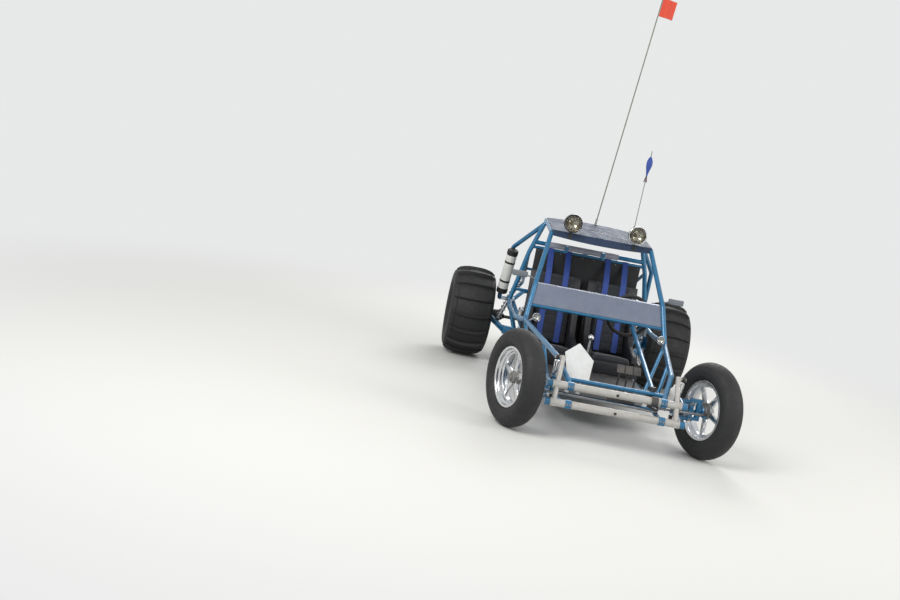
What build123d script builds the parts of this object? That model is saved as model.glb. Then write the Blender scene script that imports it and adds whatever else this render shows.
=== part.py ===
from build123d import *
from math import cos, radians, sin
import os

# Two-seat tube-frame dune buggy with an air-cooled flat engine at the rear. Millimetres.
# +X is the vehicle's left (driver's side), +Y points to the rear, +Z up.
# Stations, the Y values below, are measured rearwards from the front axle. On export every
# piece is moved so that the origin lies on the ground under the middle of the bounding box.

# Running gear
wheelbase = 2400
front_half_track = 681
rear_half_track = 870
front_tyre_radius = 336
front_tyre_width = 156
front_rim_radius = 196
front_rim_width = 104
rear_tyre_radius = 388
rear_tyre_width = 372
rear_rim_radius = 196
rear_rim_width = 300
tyre_facets = 48
paddle_count = 16
paddle_height = 24
paddle_thickness = 14
steer_at_rest = 20
seat_gap = 0.3
rim_lip = 12
hub_radius = 39
stub_radius = 31
spindle_diameter = 26

# Front beam
beam_station = -178
beam_height = 311
beam_tube_spacing = 122
beam_lean = 17.5
beam_tube_diameter = 52
beam_half_width = 439
tower_height_above = 194
kingpin_inset = 74
arm_diameter = 36
carrier_width = 44
tower_diameter = 36
tower_foot_x = 419
tower_head_x = 397
arm_rise = 12

# Steering
steering_arm_length = 90
column_x = 255
tie_rod_diameter = 15
steering_plate = 12
tie_rod_offset = steering_plate / 2 + tie_rod_diameter / 2 + seat_gap
clamp_wall = 4
clamp_x = 319
clamp_width = 42
pitman_axis = (column_x, -55)
box_low = beam_height + 38
box_high = box_low + 36

# Frame tubes
main_tube = 38
light_tube = 28
rail_tube = 36
tank_bar_diameter = 25
floor_height = 205
floor_thickness = 3
floor_half_width = 440
hoop_station = wheelbase - 425
floor_top = floor_height + main_tube / 2 + floor_thickness

# Bend points of the frame for the left side: x, station, z
roof_front = (409, hoop_station - 432, 1254)
dash_point = (506, hoop_station - 815, 868)
knee = (548, hoop_station - 960, 590)
nose_top = (405, 110, 512)
nose_foot = (319, -154, 376)
roof_rear = (410, hoop_station, 1315)
hoop_waist = (500, hoop_station, 1030)
hoop_hip = (585, hoop_station, 600)
hoop_foot = (floor_half_width, hoop_station, floor_height)
rail_front = (319, -190, 240)
rail_bend = (floor_half_width, hoop_station - 1215, floor_height)
stay_bend = (612, wheelbase - 185, 1025)
stay_low = (636, wheelbase - 70, 560)
inner_bend = (430, wheelbase + 160, 700)
cage_rear = (430, wheelbase + 630, 470)
cage_low = (300, wheelbase + 500, 225)
bumper_point = (330, wheelbase + 725, 560)
saddle_station = hoop_station + 305
roof_dip = 20
crossbar_height = 1120
strap_bar_height = 1078

# Cockpit
roof_thickness = 3
roof_crown = 20
lip_height = 43
seat_x = 245
seat_width = 430
strap_width = 50
strap_thickness = 3
seat_station = hoop_station - 625
wheel_centre = (298, hoop_station - 645, 727)
wheel_radius = 165
column_diameter = 32
hub_depth = 31
torsion_station = wheelbase - 360
torsion_height = 330
torsion_diameter = 64
lamp_radius = 75
storage_diameter = 88
sleeve_diameter = 50
marker_radius = 32

# Engine and transaxle
axle_height = rear_tyre_radius
transaxle_half = 122
firewall_gap = 2.3
crank_height = 400
tow_bore = 22
engine_station = wheelbase + 450
engine_length = 330
shroud_station = engine_station - 150
barrel_bore = 96
fin_count = 8
head_width = 40
head_reach = 344
generator_height = crank_height + 195
case_low = 248
case_high = crank_height + 118


def mirrored(shape):
    return mirror(shape, about=Plane.YZ)


def flipped(points):
    return [(-x, y, z) for x, y, z in points]


def tube(points, diameter=main_tube, bend=70):
    # A round bar along straight runs joined by tangent arcs.
    if len(points) == 2:
        path = Line(*points)
    else:
        path = FilletPolyline(*points, radius=[bend] * (len(points) - 2))
    start = Plane(origin=path @ 0, z_dir=path % 0)
    return sweep(start * Circle(diameter / 2), path=path)


def rod(start, end, diameter):
    axis = Vector(*end) - Vector(*start)
    face = Plane(origin=start, z_dir=axis) * Circle(diameter / 2)
    return extrude(face, axis.length)


def along(start, end, share):
    # The point at a share of the way from start to end.
    return tuple(a + (b - a) * share for a, b in zip(start, end))


def cross_x(centre, diameter, length):
    return Pos(*centre) * Rot(0, 90, 0) * Cylinder(diameter / 2, length)


def fused(shapes):
    whole = shapes[0]
    for shape in shapes[1:]:
        whole = whole + shape
    return whole


def less(shape, cutters):
    for cutter in cutters:
        shape = shape - cutter
    return shape


def solids_of(shape):
    return list(shape.solids())


def together(shapes):
    # Separate solids that share a node.
    return Compound([solid for shape in shapes for solid in solids_of(shape)])


# Front beam places, along the lean of the towers
lean_y = sin(radians(beam_lean))
lean_z = cos(radians(beam_lean))


def up_beam(distance):
    # Station and height at a distance up the leaning beam from its middle.
    return beam_station + distance * lean_y, beam_height + distance * lean_z


upper_tube = up_beam(beam_tube_spacing / 2)
lower_tube = up_beam(-beam_tube_spacing / 2)
tower_top = up_beam(beam_tube_spacing / 2 + tower_height_above)
tower_bottom = up_beam(-beam_tube_spacing / 2 - 26)


def front_beam():
    # Twin tubes with a slim tower at each end.
    tubes = [cross_x((0, y, z), beam_tube_diameter, 2 * beam_half_width) for y, z in (upper_tube, lower_tube)]
    towers = []
    for side in (-1, 1):
        foot = (side * tower_foot_x, tower_bottom[0], tower_bottom[1])
        head = (side * tower_head_x, tower_top[0], tower_top[1])
        towers.append(rod(foot, head, tower_diameter))
        towers.append(Pos(head[0] + side * 22, head[1], head[2] - 14) * Rot(0, 90, 0) * Cylinder(11, 62))
    return fused(tubes + towers)


kingpin_x = front_half_track - kingpin_inset
arm_x = beam_half_width + 20


def front_arms():
    # Trailing arms from the beam ends to the link-pin carrier, two a side.
    left = []
    carrier = Pos(kingpin_x - 52, 0, front_tyre_radius) * Box(26, carrier_width, 150)
    for y, z in (upper_tube, lower_tube):
        boss = cross_x((arm_x, y, z), 50, 40 - 2 * seat_gap)
        eye_z = z + arm_rise
        arm = rod((arm_x, y, z), (arm_x + 14, 0, eye_z), arm_diameter)
        pin = cross_x(((arm_x + kingpin_x - 52) / 2 + 6, 0, eye_z), 30, kingpin_x - 52 - arm_x + 30)
        left += [boss, arm, pin]
    left.append(carrier)
    for end in (-1, 1):
        left.append(Pos(kingpin_x - 26, 0, front_tyre_radius + end * 62) * Box(52, 34, 24))
        left.append(Pos(kingpin_x, 0, front_tyre_radius + end * 62) * Cylinder(20, 24))
    return fused(left)


def knuckle():
    # Kingpin body, spindle and steering arm of the left side, straight ahead.
    body = Pos(kingpin_x, 0, front_tyre_radius) * Cylinder(21, 99)
    flange = cross_x((kingpin_x + 24, 0, front_tyre_radius), 62, 14)
    neck = cross_x((kingpin_x + 10, 0, front_tyre_radius), 44, 30)
    spindle = cross_x((kingpin_x + 64, 0, front_tyre_radius), spindle_diameter, 74)
    arm = Pos(kingpin_x, -steering_arm_length / 2, beam_height) * Box(24, steering_arm_length, steering_plate)
    eye = Pos(kingpin_x, -steering_arm_length, beam_height) * Cylinder(15, steering_plate)
    return fused([body, flange, neck, spindle, arm, eye])


def turned(shape, x, y=0, angle=steer_at_rest):
    # Turned about a vertical axis through x, y.
    return Pos(x, y, 0) * Rot(0, 0, angle) * Pos(-x, -y, 0) * shape


def wheel_axis(shape, side, half_track, station, height):
    # A wheel is drawn about +Z with its outer face up, then laid on its axle.
    return Pos(side * half_track, station, height) * Rot(0, side * 90, 0) * shape


def banded(sections, inscribed=False):
    # A flat-sided turned form from (height, radius) pairs.
    outlines = [Pos(0, 0, z) * RegularPolygon(r, tyre_facets, major_radius=not inscribed) for z, r in sections]
    return loft(outlines, ruled=True)


def carcass(outer, bulge, rim_radius, rim_width):
    # Tread bands, less the dished side walls and the bore that sits on the rim.
    ledge, shoulder = rim_width / 2 - 9 - seat_gap, rim_radius + rim_lip + 1
    half = outer[-1][0]
    tread = banded([(-z, r) for z, r in reversed(outer[1:])] + outer)
    bore = banded([(-half - 1, rim_radius + seat_gap), (half + 1, rim_radius + seat_gap)], True)
    side = banded([(ledge, shoulder), (half + 1, bulge - 3)], True)
    return less(tread, [bore, side, mirror(side, about=Plane.XY)])


def front_tyre():
    half, radius = front_tyre_width / 2, front_tyre_radius
    bulge = front_rim_radius + 72
    outer = [(0, radius), (half - 44, radius - 5), (half - 22, radius - 22), (half, bulge)]
    return carcass(outer, bulge, front_rim_radius, front_rim_width)


def rim(radius, half, dish, centre_depth, bore):
    # A barrel with lips and a dished centre disc, drawn as one turned section.
    wall, lip = 5, rim_lip
    points = [
        (bore, centre_depth - 7), (radius - 44, centre_depth - 7), (radius - 34, centre_depth - 16),
        (radius - 34, -half + 24), (radius - wall - 6, -half + 18), (radius - wall, -half),
        (radius + lip, -half), (radius + lip, -half + 5), (radius, -half + 9),
        (radius - 1, -half + 22), (radius - 26, -half + 34), (radius - 26, dish),
        (radius - 1, half - 22), (radius, half - 9), (radius + lip, half - 5), (radius + lip, half),
        (radius - wall, half), (radius - wall - 7, half - 18), (radius - 34, dish - 4),
        (radius - 38, centre_depth + 7), (bore, centre_depth + 7),
    ]
    return revolve(Plane.XZ * make_face(Polyline(*points, close=True)), axis=Axis.Z)


def star(shape, root, tip, reach):
    # Five windows that leave tapered spokes, given as (distance out, half width) of a window's ends.
    window = Polyline((tip[0], -tip[1]), (root[0], -root[1]), (root[0], root[1]), (tip[0], tip[1]))
    window = make_face(window + ThreePointArc((tip[0], tip[1]), (reach, 0), (tip[0], -tip[1])))
    cutter = extrude(window, 120, both=True)
    for index in range(5):
        shape = shape - Rot(0, 0, index * 72 + 36) * cutter
    return shape


def front_rim():
    whole = rim(front_rim_radius, front_rim_width / 2, 14, 2, hub_radius + seat_gap)
    return star(whole, (58, 9), (129, 72), 150)


def rear_tyre():
    half, radius = rear_tyre_width / 2, rear_tyre_radius - paddle_height
    bulge = rear_rim_radius + 90
    outer = [(0, radius), (half - 86, radius - 10), (half - 16, radius - 30), (half, bulge)]
    shape = carcass(outer, bulge, rear_rim_radius, rear_rim_width)
    top, low = rear_tyre_radius, rear_tyre_radius - 60
    blade = Polyline(
        (low, -half + 16), (top - 30, -half + 14), (top - 7, -half + 80), (top, -half + 150), (top, half - 150),
        (top - 7, half - 80), (top - 30, half - 14), (low, half - 16), close=True)
    paddle = extrude(Plane.XZ * make_face(blade), paddle_thickness / 2, both=True)
    for index in range(paddle_count):
        shape = shape + Rot(0, 0, index * 360 / paddle_count) * paddle
    return shape


def rear_rim():
    whole = rim(rear_rim_radius, rear_rim_width / 2, 96, 60, stub_radius + seat_gap)
    return star(whole, (74, 17), (128, 72), 150)


def front_hub():
    # Turned hub with a flange behind the rim and a closed cap, bored for the spindle.
    bore, flange = spindle_diameter / 2 + seat_gap, 58
    outline = [
        (bore, -38), (33, -38), (36, -35), (36, -17), (flange, -17), (flange, -5 - seat_gap), (hub_radius, -5 - seat_gap),
        (hub_radius, 30), (34, 34), (25, 36), (25, 44), (22, 46), (0, 46), (0, 33), (bore, 33),
    ]
    return revolve(Plane.XZ * make_face(Polyline(*outline, close=True)), axis=Axis.Z)


def drive_shaft():
    # Rear drum, bearing stub, outer joint, shaft and inner joint as one turned line.
    inner_end = rear_half_track - transaxle_half - 2 * seat_gap
    stations = [
        (0, 64), (stub_radius, 64), (stub_radius, 30), (118, 28), (122, 24), (122, -28), (44, -30),
        (stub_radius, -34), (stub_radius, -182), (24, -184), (24, -212), (50, -218), (52, -266),
        (24, -300), (14, -304), (14, -inner_end + 96), (24, -inner_end + 88), (50, -inner_end + 48),
        (52, -inner_end + 40), (52, -inner_end), (0, -inner_end),
    ]
    return revolve(Plane.XZ * make_face(Polyline(*stations, close=True)), axis=Axis.Z)


def frame_side():
    # Left side: windscreen post with its nose tube, side rail, upright and brace, and the floor rail under them.
    post = tube([along(roof_front, dash_point, 0.0), dash_point, knee, nose_top, nose_foot], bend=60)
    rail_end = (floor_half_width, hoop_station - 6, floor_height)
    rail = tube([rail_front, rail_bend, rail_end], rail_tube, 260)
    side_rail = tube([knee, (600, hoop_station - 715, 566), (600, hoop_station - 275, 566), hoop_hip], bend=200)
    upright = tube([knee, along(rail_bend, hoop_foot, 0.12)], light_tube)
    brace = tube([along(knee, nose_top, 0.62), along(rail_front, rail_bend, 0.56)], light_tube)
    return less(fused([post, side_rail, upright, brace]), [rail]), rail


def frame_cross():
    # Cross tubes behind the front beam and under the cockpit.
    y, z = upper_tube
    parts = [rod((-320, y + 64, z + 36), (320, y + 64, z + 36), light_tube)]
    under = floor_top - floor_thickness - light_tube / 2 - seat_gap
    for station, height in ((-60, 233), (360, under)):
        half = along(rail_front, rail_bend, (station - rail_front[1]) / (rail_bend[1] - rail_front[1]))[0]
        parts.append(rod((-half, station, height), (half, station, height), light_tube))
    for station in (rail_bend[1], rail_bend[1] + 600):
        parts.append(rod((-floor_half_width, station, under), (floor_half_width, station, under), light_tube))
    return parts


def main_hoop():
    side = [roof_rear, hoop_waist, hoop_hip, hoop_foot]
    path = list(reversed([(-x, y, z) for x, y, z in side])) + side
    hoop = tube(path, bend=75)
    cross = [
        rod((-floor_half_width, hoop_station, floor_height), (floor_half_width, hoop_station, floor_height), main_tube),
        rod((-470, hoop_station, crossbar_height), (470, hoop_station, crossbar_height), main_tube),
        rod((-480, hoop_station, strap_bar_height), (480, hoop_station, strap_bar_height), light_tube),
        rod((-560, hoop_station, 700), (560, hoop_station, 700), light_tube),
    ]
    return fused([hoop] + cross)


def roof_frame():
    dip = (0, roof_front[1], roof_front[2] - roof_dip)
    bow = ThreePointArc(flipped([roof_front])[0], dip, roof_front)
    front = sweep(Plane(origin=bow @ 0, z_dir=bow % 0) * Circle(main_tube / 2), path=bow)
    sides = [rod(roof_front, roof_rear, main_tube), rod(*flipped([roof_front, roof_rear]), main_tube)]
    ends = [Pos(*point) * Sphere(main_tube / 2) for point in [roof_front] + flipped([roof_front])]
    return fused([front] + sides + ends)


def rear_frame():
    # Stays from the roof down to a cage round the engine, with a bumper loop.
    parts = []
    half = [along(roof_rear, hoop_waist, 0.14), stay_bend, stay_low, cage_rear, bumper_point]
    parts.append(tube(half + list(reversed(flipped(half))), bend=55))
    for flip in (False, True):
        inner = [hoop_waist, inner_bend, along(stay_low, cage_rear, 0.55)]
        lower = [hoop_foot, (300, wheelbase + 50, 215), cage_low, cage_rear]
        for points, size, bend in ((inner, light_tube, 90), (lower, main_tube, 80)):
            parts.append(tube(flipped(points) if flip else points, size, bend))
        saddle = [(200, hoop_station, 700), (200, saddle_station, 858)]
        parts.append(tube(flipped(saddle) if flip else saddle, light_tube))
        plate = Pos((-1 if flip else 1) * 450, torsion_station - 18, torsion_height) * Box(12, 120, 96)
        parts.append(plate)
    tank_bar = along(hoop_waist, inner_bend, (saddle_station - hoop_station) / (inner_bend[1] - hoop_station))
    parts.append(rod(flipped([tank_bar])[0], tank_bar, tank_bar_diameter))
    for station, half, height in ((wheelbase - 160, 360, 216), (wheelbase + 320, 300, case_low - seat_gap - light_tube / 2)):
        parts.append(rod((-half, station, height), (half, station, height), light_tube))
    parts.append(cross_x((0, torsion_station, torsion_height), torsion_diameter, 2 * 520))
    return fused(parts)


def floor_pan():
    outline = Polyline(
        (-300, 330), (300, 330), (floor_half_width - 10, rail_bend[1]), (floor_half_width - 10, hoop_station - 22),
        (-floor_half_width + 10, hoop_station - 22), (-floor_half_width + 10, rail_bend[1]), close=True,
    )
    return Pos(0, 0, floor_top - floor_thickness) * extrude(make_face(outline), floor_thickness)


column_foot = (column_x, pitman_axis[1] + 8, box_high + 40)
column_axis = Vector(*wheel_centre) - Vector(*column_foot)


def dash_panel():
    # A bent sheet between the windscreen posts, with a tube under it.
    low, high = (dash_point[1] - 79, 716), (dash_point[1], 868)
    sheet = make_face(Polyline(low, high, (high[0] + 3, high[1] - 2), (low[0] + 3, low[1] - 2), close=True))
    lip = make_face(Polyline(high, (high[0] + 44, high[1] + 4), (high[0] + 44, high[1] + 1), (high[0] + 3, high[1] - 2), close=True))
    panel = extrude(Plane.YZ * sheet, 518, both=True) + extrude(Plane.YZ * lip, 484, both=True)
    under = rod((-525, low[0] + 2, low[1] - 14), (525, low[0] + 2, low[1] - 14), 24)
    column_hole = rod(column_foot, wheel_centre, column_diameter + 2 * seat_gap)
    return panel - column_hole, under - column_hole


def across(half, edge, rise):
    # An arc over the full width, from right to left.
    return ThreePointArc((-half, edge), (0, edge + rise), (half, edge))


def roof_face(y, low, top):
    # A section of the roof between two arcs, each given as (edge height, rise).
    half = roof_rear[0]
    sides = Line((half, top[0]), (half, low[0])) + Line((-half, low[0]), (-half, top[0]))
    plane = Plane(origin=(0, y, 0), z_dir=(0, -1, 0), x_dir=(1, 0, 0))
    return plane * make_face(across(half, *top) + across(half, *low) + sides)


lip_front = roof_front[1] - main_tube / 2 - seat_gap - roof_thickness
roof_slots = ((-55, -257), (25, -259), (158, -275), (211, -285))


def roof_panel():
    # A crowned sheet over the roof frame, its front edge folded down ahead of the front bar.
    lift = main_tube / 2 + seat_gap / 3
    front, rear = roof_front[2] + lift, roof_rear[2] + lift
    ends = [roof_face(lip_front, (front, -2), (front + roof_thickness, -2)),
            roof_face(hoop_station - 6, (rear, roof_crown), (rear + roof_thickness, roof_crown))]
    lip = roof_face(lip_front, (front - lip_height, -18), (front + roof_thickness, -2))
    panel = loft(ends) + extrude(lip, -roof_thickness)
    for x, offset in roof_slots:
        panel = panel - Pos(x, hoop_station + offset, roof_rear[2] - 60) * extrude(SlotOverall(40, 26), 120)
    return panel


def toe_board():
    # A pale pentagonal plate ahead of the passenger's feet, on two struts from the floor.
    points = [(-120, 63), (-20, 151), (87, 30), (59, -151), (-92, -150)]
    place = Pos(-205, 240, 470) * Rot(52, 0, 0)
    plate = place * extrude(make_face(Polyline(*points, close=True)), 4)
    struts = []
    for x in (-40, 40):
        head = (place * Pos(x, 60, 0)).position
        struts.append(rod((-205 + x, 352, floor_top + 8), tuple(head), 14))
        struts.append(Pos(-205 + x, 352, floor_top + 5) * Cylinder(16, 10))
    return fused([plate] + struts)


def firewall():
    return Pos(0, hoop_station - light_tube / 2 - firewall_gap, 690) * Box(900, 4, 760)


def storage_tube():
    # A pale document tube strapped ahead of the right-hand stay.
    leg = Vector(*stay_low) - Vector(*stay_bend)
    away = Vector(0, -1, 0)
    away = (away - leg * (away.dot(leg) / leg.dot(leg))).normalized()
    reach = away * (main_tube / 2 + storage_diameter / 2 + seat_gap)
    ends = [Vector(*along(stay_bend, stay_low, share)) + reach for share in (0.02, 0.84)]
    return mirrored(rod(tuple(ends[0]), tuple(ends[1]), storage_diameter))


def bar_sleeve():
    # A pale sleeve over the crossbar behind the seats.
    centre = (-45, hoop_station, crossbar_height)
    return cross_x(centre, sleeve_diameter, 590) - cross_x(centre, main_tube + 2 * seat_gap, 600)


def beam_clamps():
    parts = []
    for side in (-1, 1):
        for y, z in (upper_tube, lower_tube):
            ring = cross_x((side * clamp_x, y, z), beam_tube_diameter + 2 * clamp_wall, clamp_width)
            parts.append(ring - cross_x((side * clamp_x, y, z), beam_tube_diameter + 2 * seat_gap, 60))
    return parts


def front_shocks():
    # Slim dampers from the tower studs down to the lower trailing arms.
    parts = []
    foot_y = -40
    share = (foot_y - lower_tube[0]) / -lower_tube[0]
    for side in (-1, 1):
        head = (side * 434, tower_top[0], tower_top[1] - 14)
        foot = (side * 418, foot_y, lower_tube[1] + arm_rise * share)
        body = rod(along(head, foot, 0.42), along(head, foot, 0.9), 38)
        shaft = rod(head, foot, 22)
        pin = cross_x((side * 436, foot_y, foot[2]), 18, 40)
        parts.append(fused([body, shaft, cross_x(head, 34, 24), cross_x(foot, 30, 24), pin]))
    return parts


def steering_box():
    # Box clamped on the upper tube, with its sector shaft pointing down at the rear.
    y, z = upper_tube
    clamp = cross_x((column_x, y, z), beam_tube_diameter + 16, 44)
    body = Pos(column_x, (y + pitman_axis[1] + 28) / 2, (box_low + box_high) / 2)
    body = body * Box(60, pitman_axis[1] + 28 - y, box_high - box_low)
    tower = Pos(column_x, pitman_axis[1], box_high + 29) * Cylinder(21, 66)
    return fused([clamp, body, tower]) - cross_x((column_x, y, z), beam_tube_diameter + 2 * seat_gap, 200)


def pitman_arm():
    x, y = pitman_axis
    low, high = beam_height - steering_plate / 2, box_low - seat_gap
    hub = Pos(x, y, (low + high) / 2) * Cylinder(18, high - low)
    arm = Pos(x, y - steering_arm_length / 2, beam_height) * Box(24, steering_arm_length, steering_plate)
    eye = Pos(x, y - steering_arm_length, beam_height) * Cylinder(15, steering_plate)
    return fused([hub, arm, eye])


def steering_column():
    share = 1 - (hub_depth + seat_gap) / column_axis.length
    return rod(column_foot, along(column_foot, wheel_centre, share), column_diameter)


def steering_wheel():
    plane = Plane(origin=wheel_centre, z_dir=column_axis, x_dir=(1, 0, 0))
    ring = Torus(wheel_radius, 15)
    hub = Pos(0, 0, -hub_depth + 13) * Cylinder(34, 26)
    spokes = [Rot(0, 0, angle) * Pos(wheel_radius / 2, 0, -8) * Box(wheel_radius - 6, 26, 5) for angle in (0, 180, 270)]
    return plane.location * fused([ring, hub] + spokes)


def seat(x):
    # Bucket seat as one closed solid: cushion and back from one side profile, with raised wings.
    bottom = floor_top + seat_gap
    side = Polyline(
        (seat_station - 20, bottom), (seat_station - 20, 345), (seat_station + 40, 372),
        (seat_station + 350, 335), (seat_station + 515, 900), (seat_station + 560, 925),
        (seat_station + 590, 900), (seat_station + 470, 380), (seat_station + 450, bottom), close=True)
    wing = Polyline(
        (seat_station + 20, bottom), (seat_station + 20, 400), (seat_station + 270, 460),
        (seat_station + 420, 780), (seat_station + 560, 800), (seat_station + 470, 380),
        (seat_station + 450, bottom), close=True)
    shape = extrude(Plane.YZ * make_face(side), seat_width / 2, both=True)
    flank = extrude(Plane.YZ * make_face(wing), 50)
    for edge in (-seat_width / 2, seat_width / 2 - 50):
        shape = shape + Pos(edge, 0, 0) * flank
    return Pos(x, 0, 0) * shape


def harness(x):
    # Shoulder straps up the seat back and on to the lower crossbar.
    low, high = Vector(seat_station + 350, 335), Vector(seat_station + 515, 900)
    up = (high - low).normalized()
    gap = Vector(-up.Y, up.X) * seat_gap
    thick = Vector(-up.Y, up.X) * (seat_gap + strap_thickness)
    start, turn = low + up * 5, high
    bar = Vector(hoop_station - light_tube / 2 - seat_gap, strap_bar_height)
    points = [start + gap, turn + gap, bar, bar - Vector(strap_thickness, 0), turn + thick, start + thick]
    face = make_face(Polyline(*[(point.X, point.Y) for point in points], close=True))
    strap = extrude(Plane.YZ * face, strap_width / 2, both=True)
    return [Pos(x + side * 75, 0, 0) * strap for side in (-1, 1)]


def lamp(centre, radius):
    # A round lamp facing forwards, drawn as a turned shell with a domed back.
    shell = revolve(
        Plane.XZ * make_face(
            Polyline((0, 12), (radius - 6, 12), (radius, 6), (radius, -radius * 0.2), (radius * 0.93, -radius * 0.45),
                     (radius * 0.76, -radius * 0.7), (radius * 0.5, -radius * 0.9), (radius * 0.2, -radius), (0, -radius), close=True)),
        axis=Axis.Z)
    return Pos(*centre) * Rot(90, 0, 0) * shell


def driving_lamps():
    # Two lamps over the roof's front edge, each on a stem with a foot on the folded lip.
    y, z = roof_front[1] - 74, roof_front[2] + main_tube / 2 + lamp_radius + 6
    foot_y, foot_z = lip_front - seat_gap - 2, roof_front[2] - 12
    parts = []
    for x in (-263, 263):
        stem = rod((x, y + 24, z - 40), (x, foot_y, foot_z), 16)
        foot = Pos(x, foot_y, foot_z) * Box(30, 4, 34)
        behind = Pos(x, foot_y + 2 + 20, foot_z) * Box(60, 40, 60)
        parts.append(lamp((x, y, z), lamp_radius) + (stem - behind) + foot)
    return parts


def marker_lamps():
    parts = []
    for side in (-1, 1):
        centre = (481, knee[1] - 110, 640)
        stem = rod((centre[0], centre[1] + 20, centre[2]), along(knee, nose_top, 0.05), 12)
        parts.append(lamp(centre, marker_radius) + stem)
    return [parts[0], mirrored(parts[1])]


def mirrors():
    parts = []
    for side in (-1, 1):
        station = dash_point[1] + 97
        head = Pos(side * 627, station, 908) * Box(126, 30, 62)
        stem = rod((side * 500, station - 52, 890), (side * 590, station + 5, 908), 12)
        parts.append(head + stem)
    return parts


# Whip poles on the hoop: foot, tip, pole diameter
whip_tall = ((0, hoop_station, 1334.3), (172, hoop_station + 40, 3300), 10)
whip_short = ((330, hoop_station, 1334.3), (368, hoop_station + 120, 2046), 7)


def whip_plane(whip):
    # Local frame on a pole: Z runs up the pole and X points to the vehicle's left.
    foot, tip, _ = whip
    return Plane(origin=foot, z_dir=Vector(*tip) - Vector(*foot), x_dir=(1, 0, 0)).location


def whips():
    return [rod(*whip_tall), rod(*whip_short)]


def flags():
    reach = whip_tall[2] / 2 + seat_gap
    tall = whip_plane(whip_tall) * Pos(reach + 60, 0, 1880) * Box(120, 3, 150)
    sock = Cylinder(26, 170) - Cylinder(whip_short[2] / 2 + seat_gap, 200)
    return tall, whip_plane(whip_short) * Pos(0, 0, 590) * sock


def transaxle():
    case = Pos(0, wheelbase - 20, axle_height - 6) * Cylinder(118, 230, rotation=(90, 0, 0))
    front = torsion_station + torsion_diameter / 2 + seat_gap
    nose = Pos(0, (front + wheelbase - 130) / 2, axle_height - 10) * Cylinder(78, wheelbase - 130 - front, rotation=(90, 0, 0))
    sides = cross_x((0, wheelbase, axle_height), 150, 2 * transaxle_half)
    bell = Pos(0, wheelbase + 150, axle_height + 6) * Cone(118, 170, 110, rotation=(-90, 0, 0))
    return fused([case, nose, sides, bell])


def engine():
    # Flat four: crankcase, finned barrels, finned heads with rocker covers, and the crank pulley.
    y = engine_station
    height = crank_height + 6
    case = Pos(0, y - 80, (case_low + case_high) / 2) * Box(300, engine_length, case_high - case_low)
    pulley = Pos(0, y + engine_length / 2 - 60, crank_height) * Cylinder(88, 26, rotation=(90, 0, 0))
    shaft = Pos(0, y + engine_length / 2 - 90, crank_height) * Cylinder(24, 80, rotation=(90, 0, 0))
    pieces = [case, pulley, shaft]
    for side in (-1, 1):
        for offset in (-155, -5):
            pieces.append(cross_x((side * 230, y + offset, height), barrel_bore, 180))
            for index in range(fin_count):
                pieces.append(Pos(side * (160 + 17 * index), y + offset, height) * Box(4, 118, 116))
        head = head_reach - head_width / 2
        pieces.append(Pos(side * head, y - 80, height) * Box(head_width, 276, 96))
        for level in (-42, -21, 0, 21, 42):
            pieces.append(Pos(side * (head - 6), y - 80, height + level) * Box(head_width + 4, 296, 5))
        cover = Box(30, 250, 80)
        cover = chamfer(cover.edges().filter_by(Axis.Y), 9)
        pieces.append(Pos(side * (head_reach + 15), y - 80, height - 6) * cover)
    return fused(pieces)


def fan_shroud():
    # Round fan housing that spreads to the barrels on both sides, open at the fan's inlet.
    low, top = case_high + seat_gap, crank_height + 270
    half, radius = 268, 150
    outline = Polyline((-half, low), (-half, low + 70), (-radius, top - 50), (-radius, top))
    outline += ThreePointArc((-radius, top), (0, top + radius), (radius, top))
    outline += Polyline((radius, top), (radius, top - 50), (half, low + 70), (half, low), (-half, low))
    shell = Pos(0, shroud_station, 0) * extrude(Plane.XZ * make_face(outline), 55, both=True)
    inlet = Pos(0, shroud_station - 40, top) * Cylinder(102, 60, rotation=(90, 0, 0))
    spinner = Pos(0, shroud_station - 25, top) * Cylinder(34, 50, rotation=(90, 0, 0))
    blades = [Pos(0, shroud_station - 22, top) * Rot(0, index * 30, 0) * Pos(62, 0, 0) * Rot(28, 0, 0) * Box(72, 30, 4) for index in range(12)]
    return fused([shell - inlet, spinner] + blades)


def generator():
    # Generator behind the fan housing, on its stand, with the belt pulley.
    back = shroud_station + 55 + seat_gap
    end = engine_station + engine_length / 2 - 82
    middle = (back + end) / 2
    body = Pos(0, middle, generator_height) * Cylinder(50, end - back, rotation=(90, 0, 0))
    stand = Pos(0, middle, (case_high + generator_height) / 2) * Box(60, 84, generator_height - case_high - 2 * seat_gap)
    shaft = Pos(0, end + 12, generator_height) * Cylinder(10, 60, rotation=(90, 0, 0))
    pulley = Pos(0, end + 22, generator_height) * Cylinder(56, 20, rotation=(90, 0, 0))
    return fused([body, stand, shaft, pulley])


def intake():
    # One carburettor and air cleaner over each pair of barrels.
    parts = []
    for side in (-1, 1):
        x, y, z = side * 240, engine_station - 42, crank_height
        leg = rod((x + side * 62, y, z + 40), (x, y, z + 182), 36)
        body = Pos(x, y, z + 212) * Box(58, 66, 74)
        throat = Pos(x, y, z + 266) * Cylinder(30, 50)
        cleaner = Pos(x, y, z + 316) * Cylinder(62, 64)
        parts.append(fused([leg, body, throat, cleaner]))
    return parts


def exhaust():
    # Side headers joined behind the engine, with a cross-mounted silencer.
    y, x, z = engine_station + 145, 262, 318
    pipe = tube([(-x, y - 260, z), (-x, y, z), (x, y, z), (x, y - 260, z)], 42, 60)
    muffler = cross_x((0, y + 68, z + 6), 120, 420)
    link = rod((0, y + 4, z), (0, y + 60, z + 4), 34)
    ports = [rod((side * x, y - 230, z + 3), (side * 318, y - 230, crank_height - 20), 34) for side in (-1, 1)]
    return fused([pipe, muffler, link] + ports)


arm_rear_foot = (580, torsion_station, torsion_height)
arm_rear_head = (706, wheelbase, axle_height)


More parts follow.
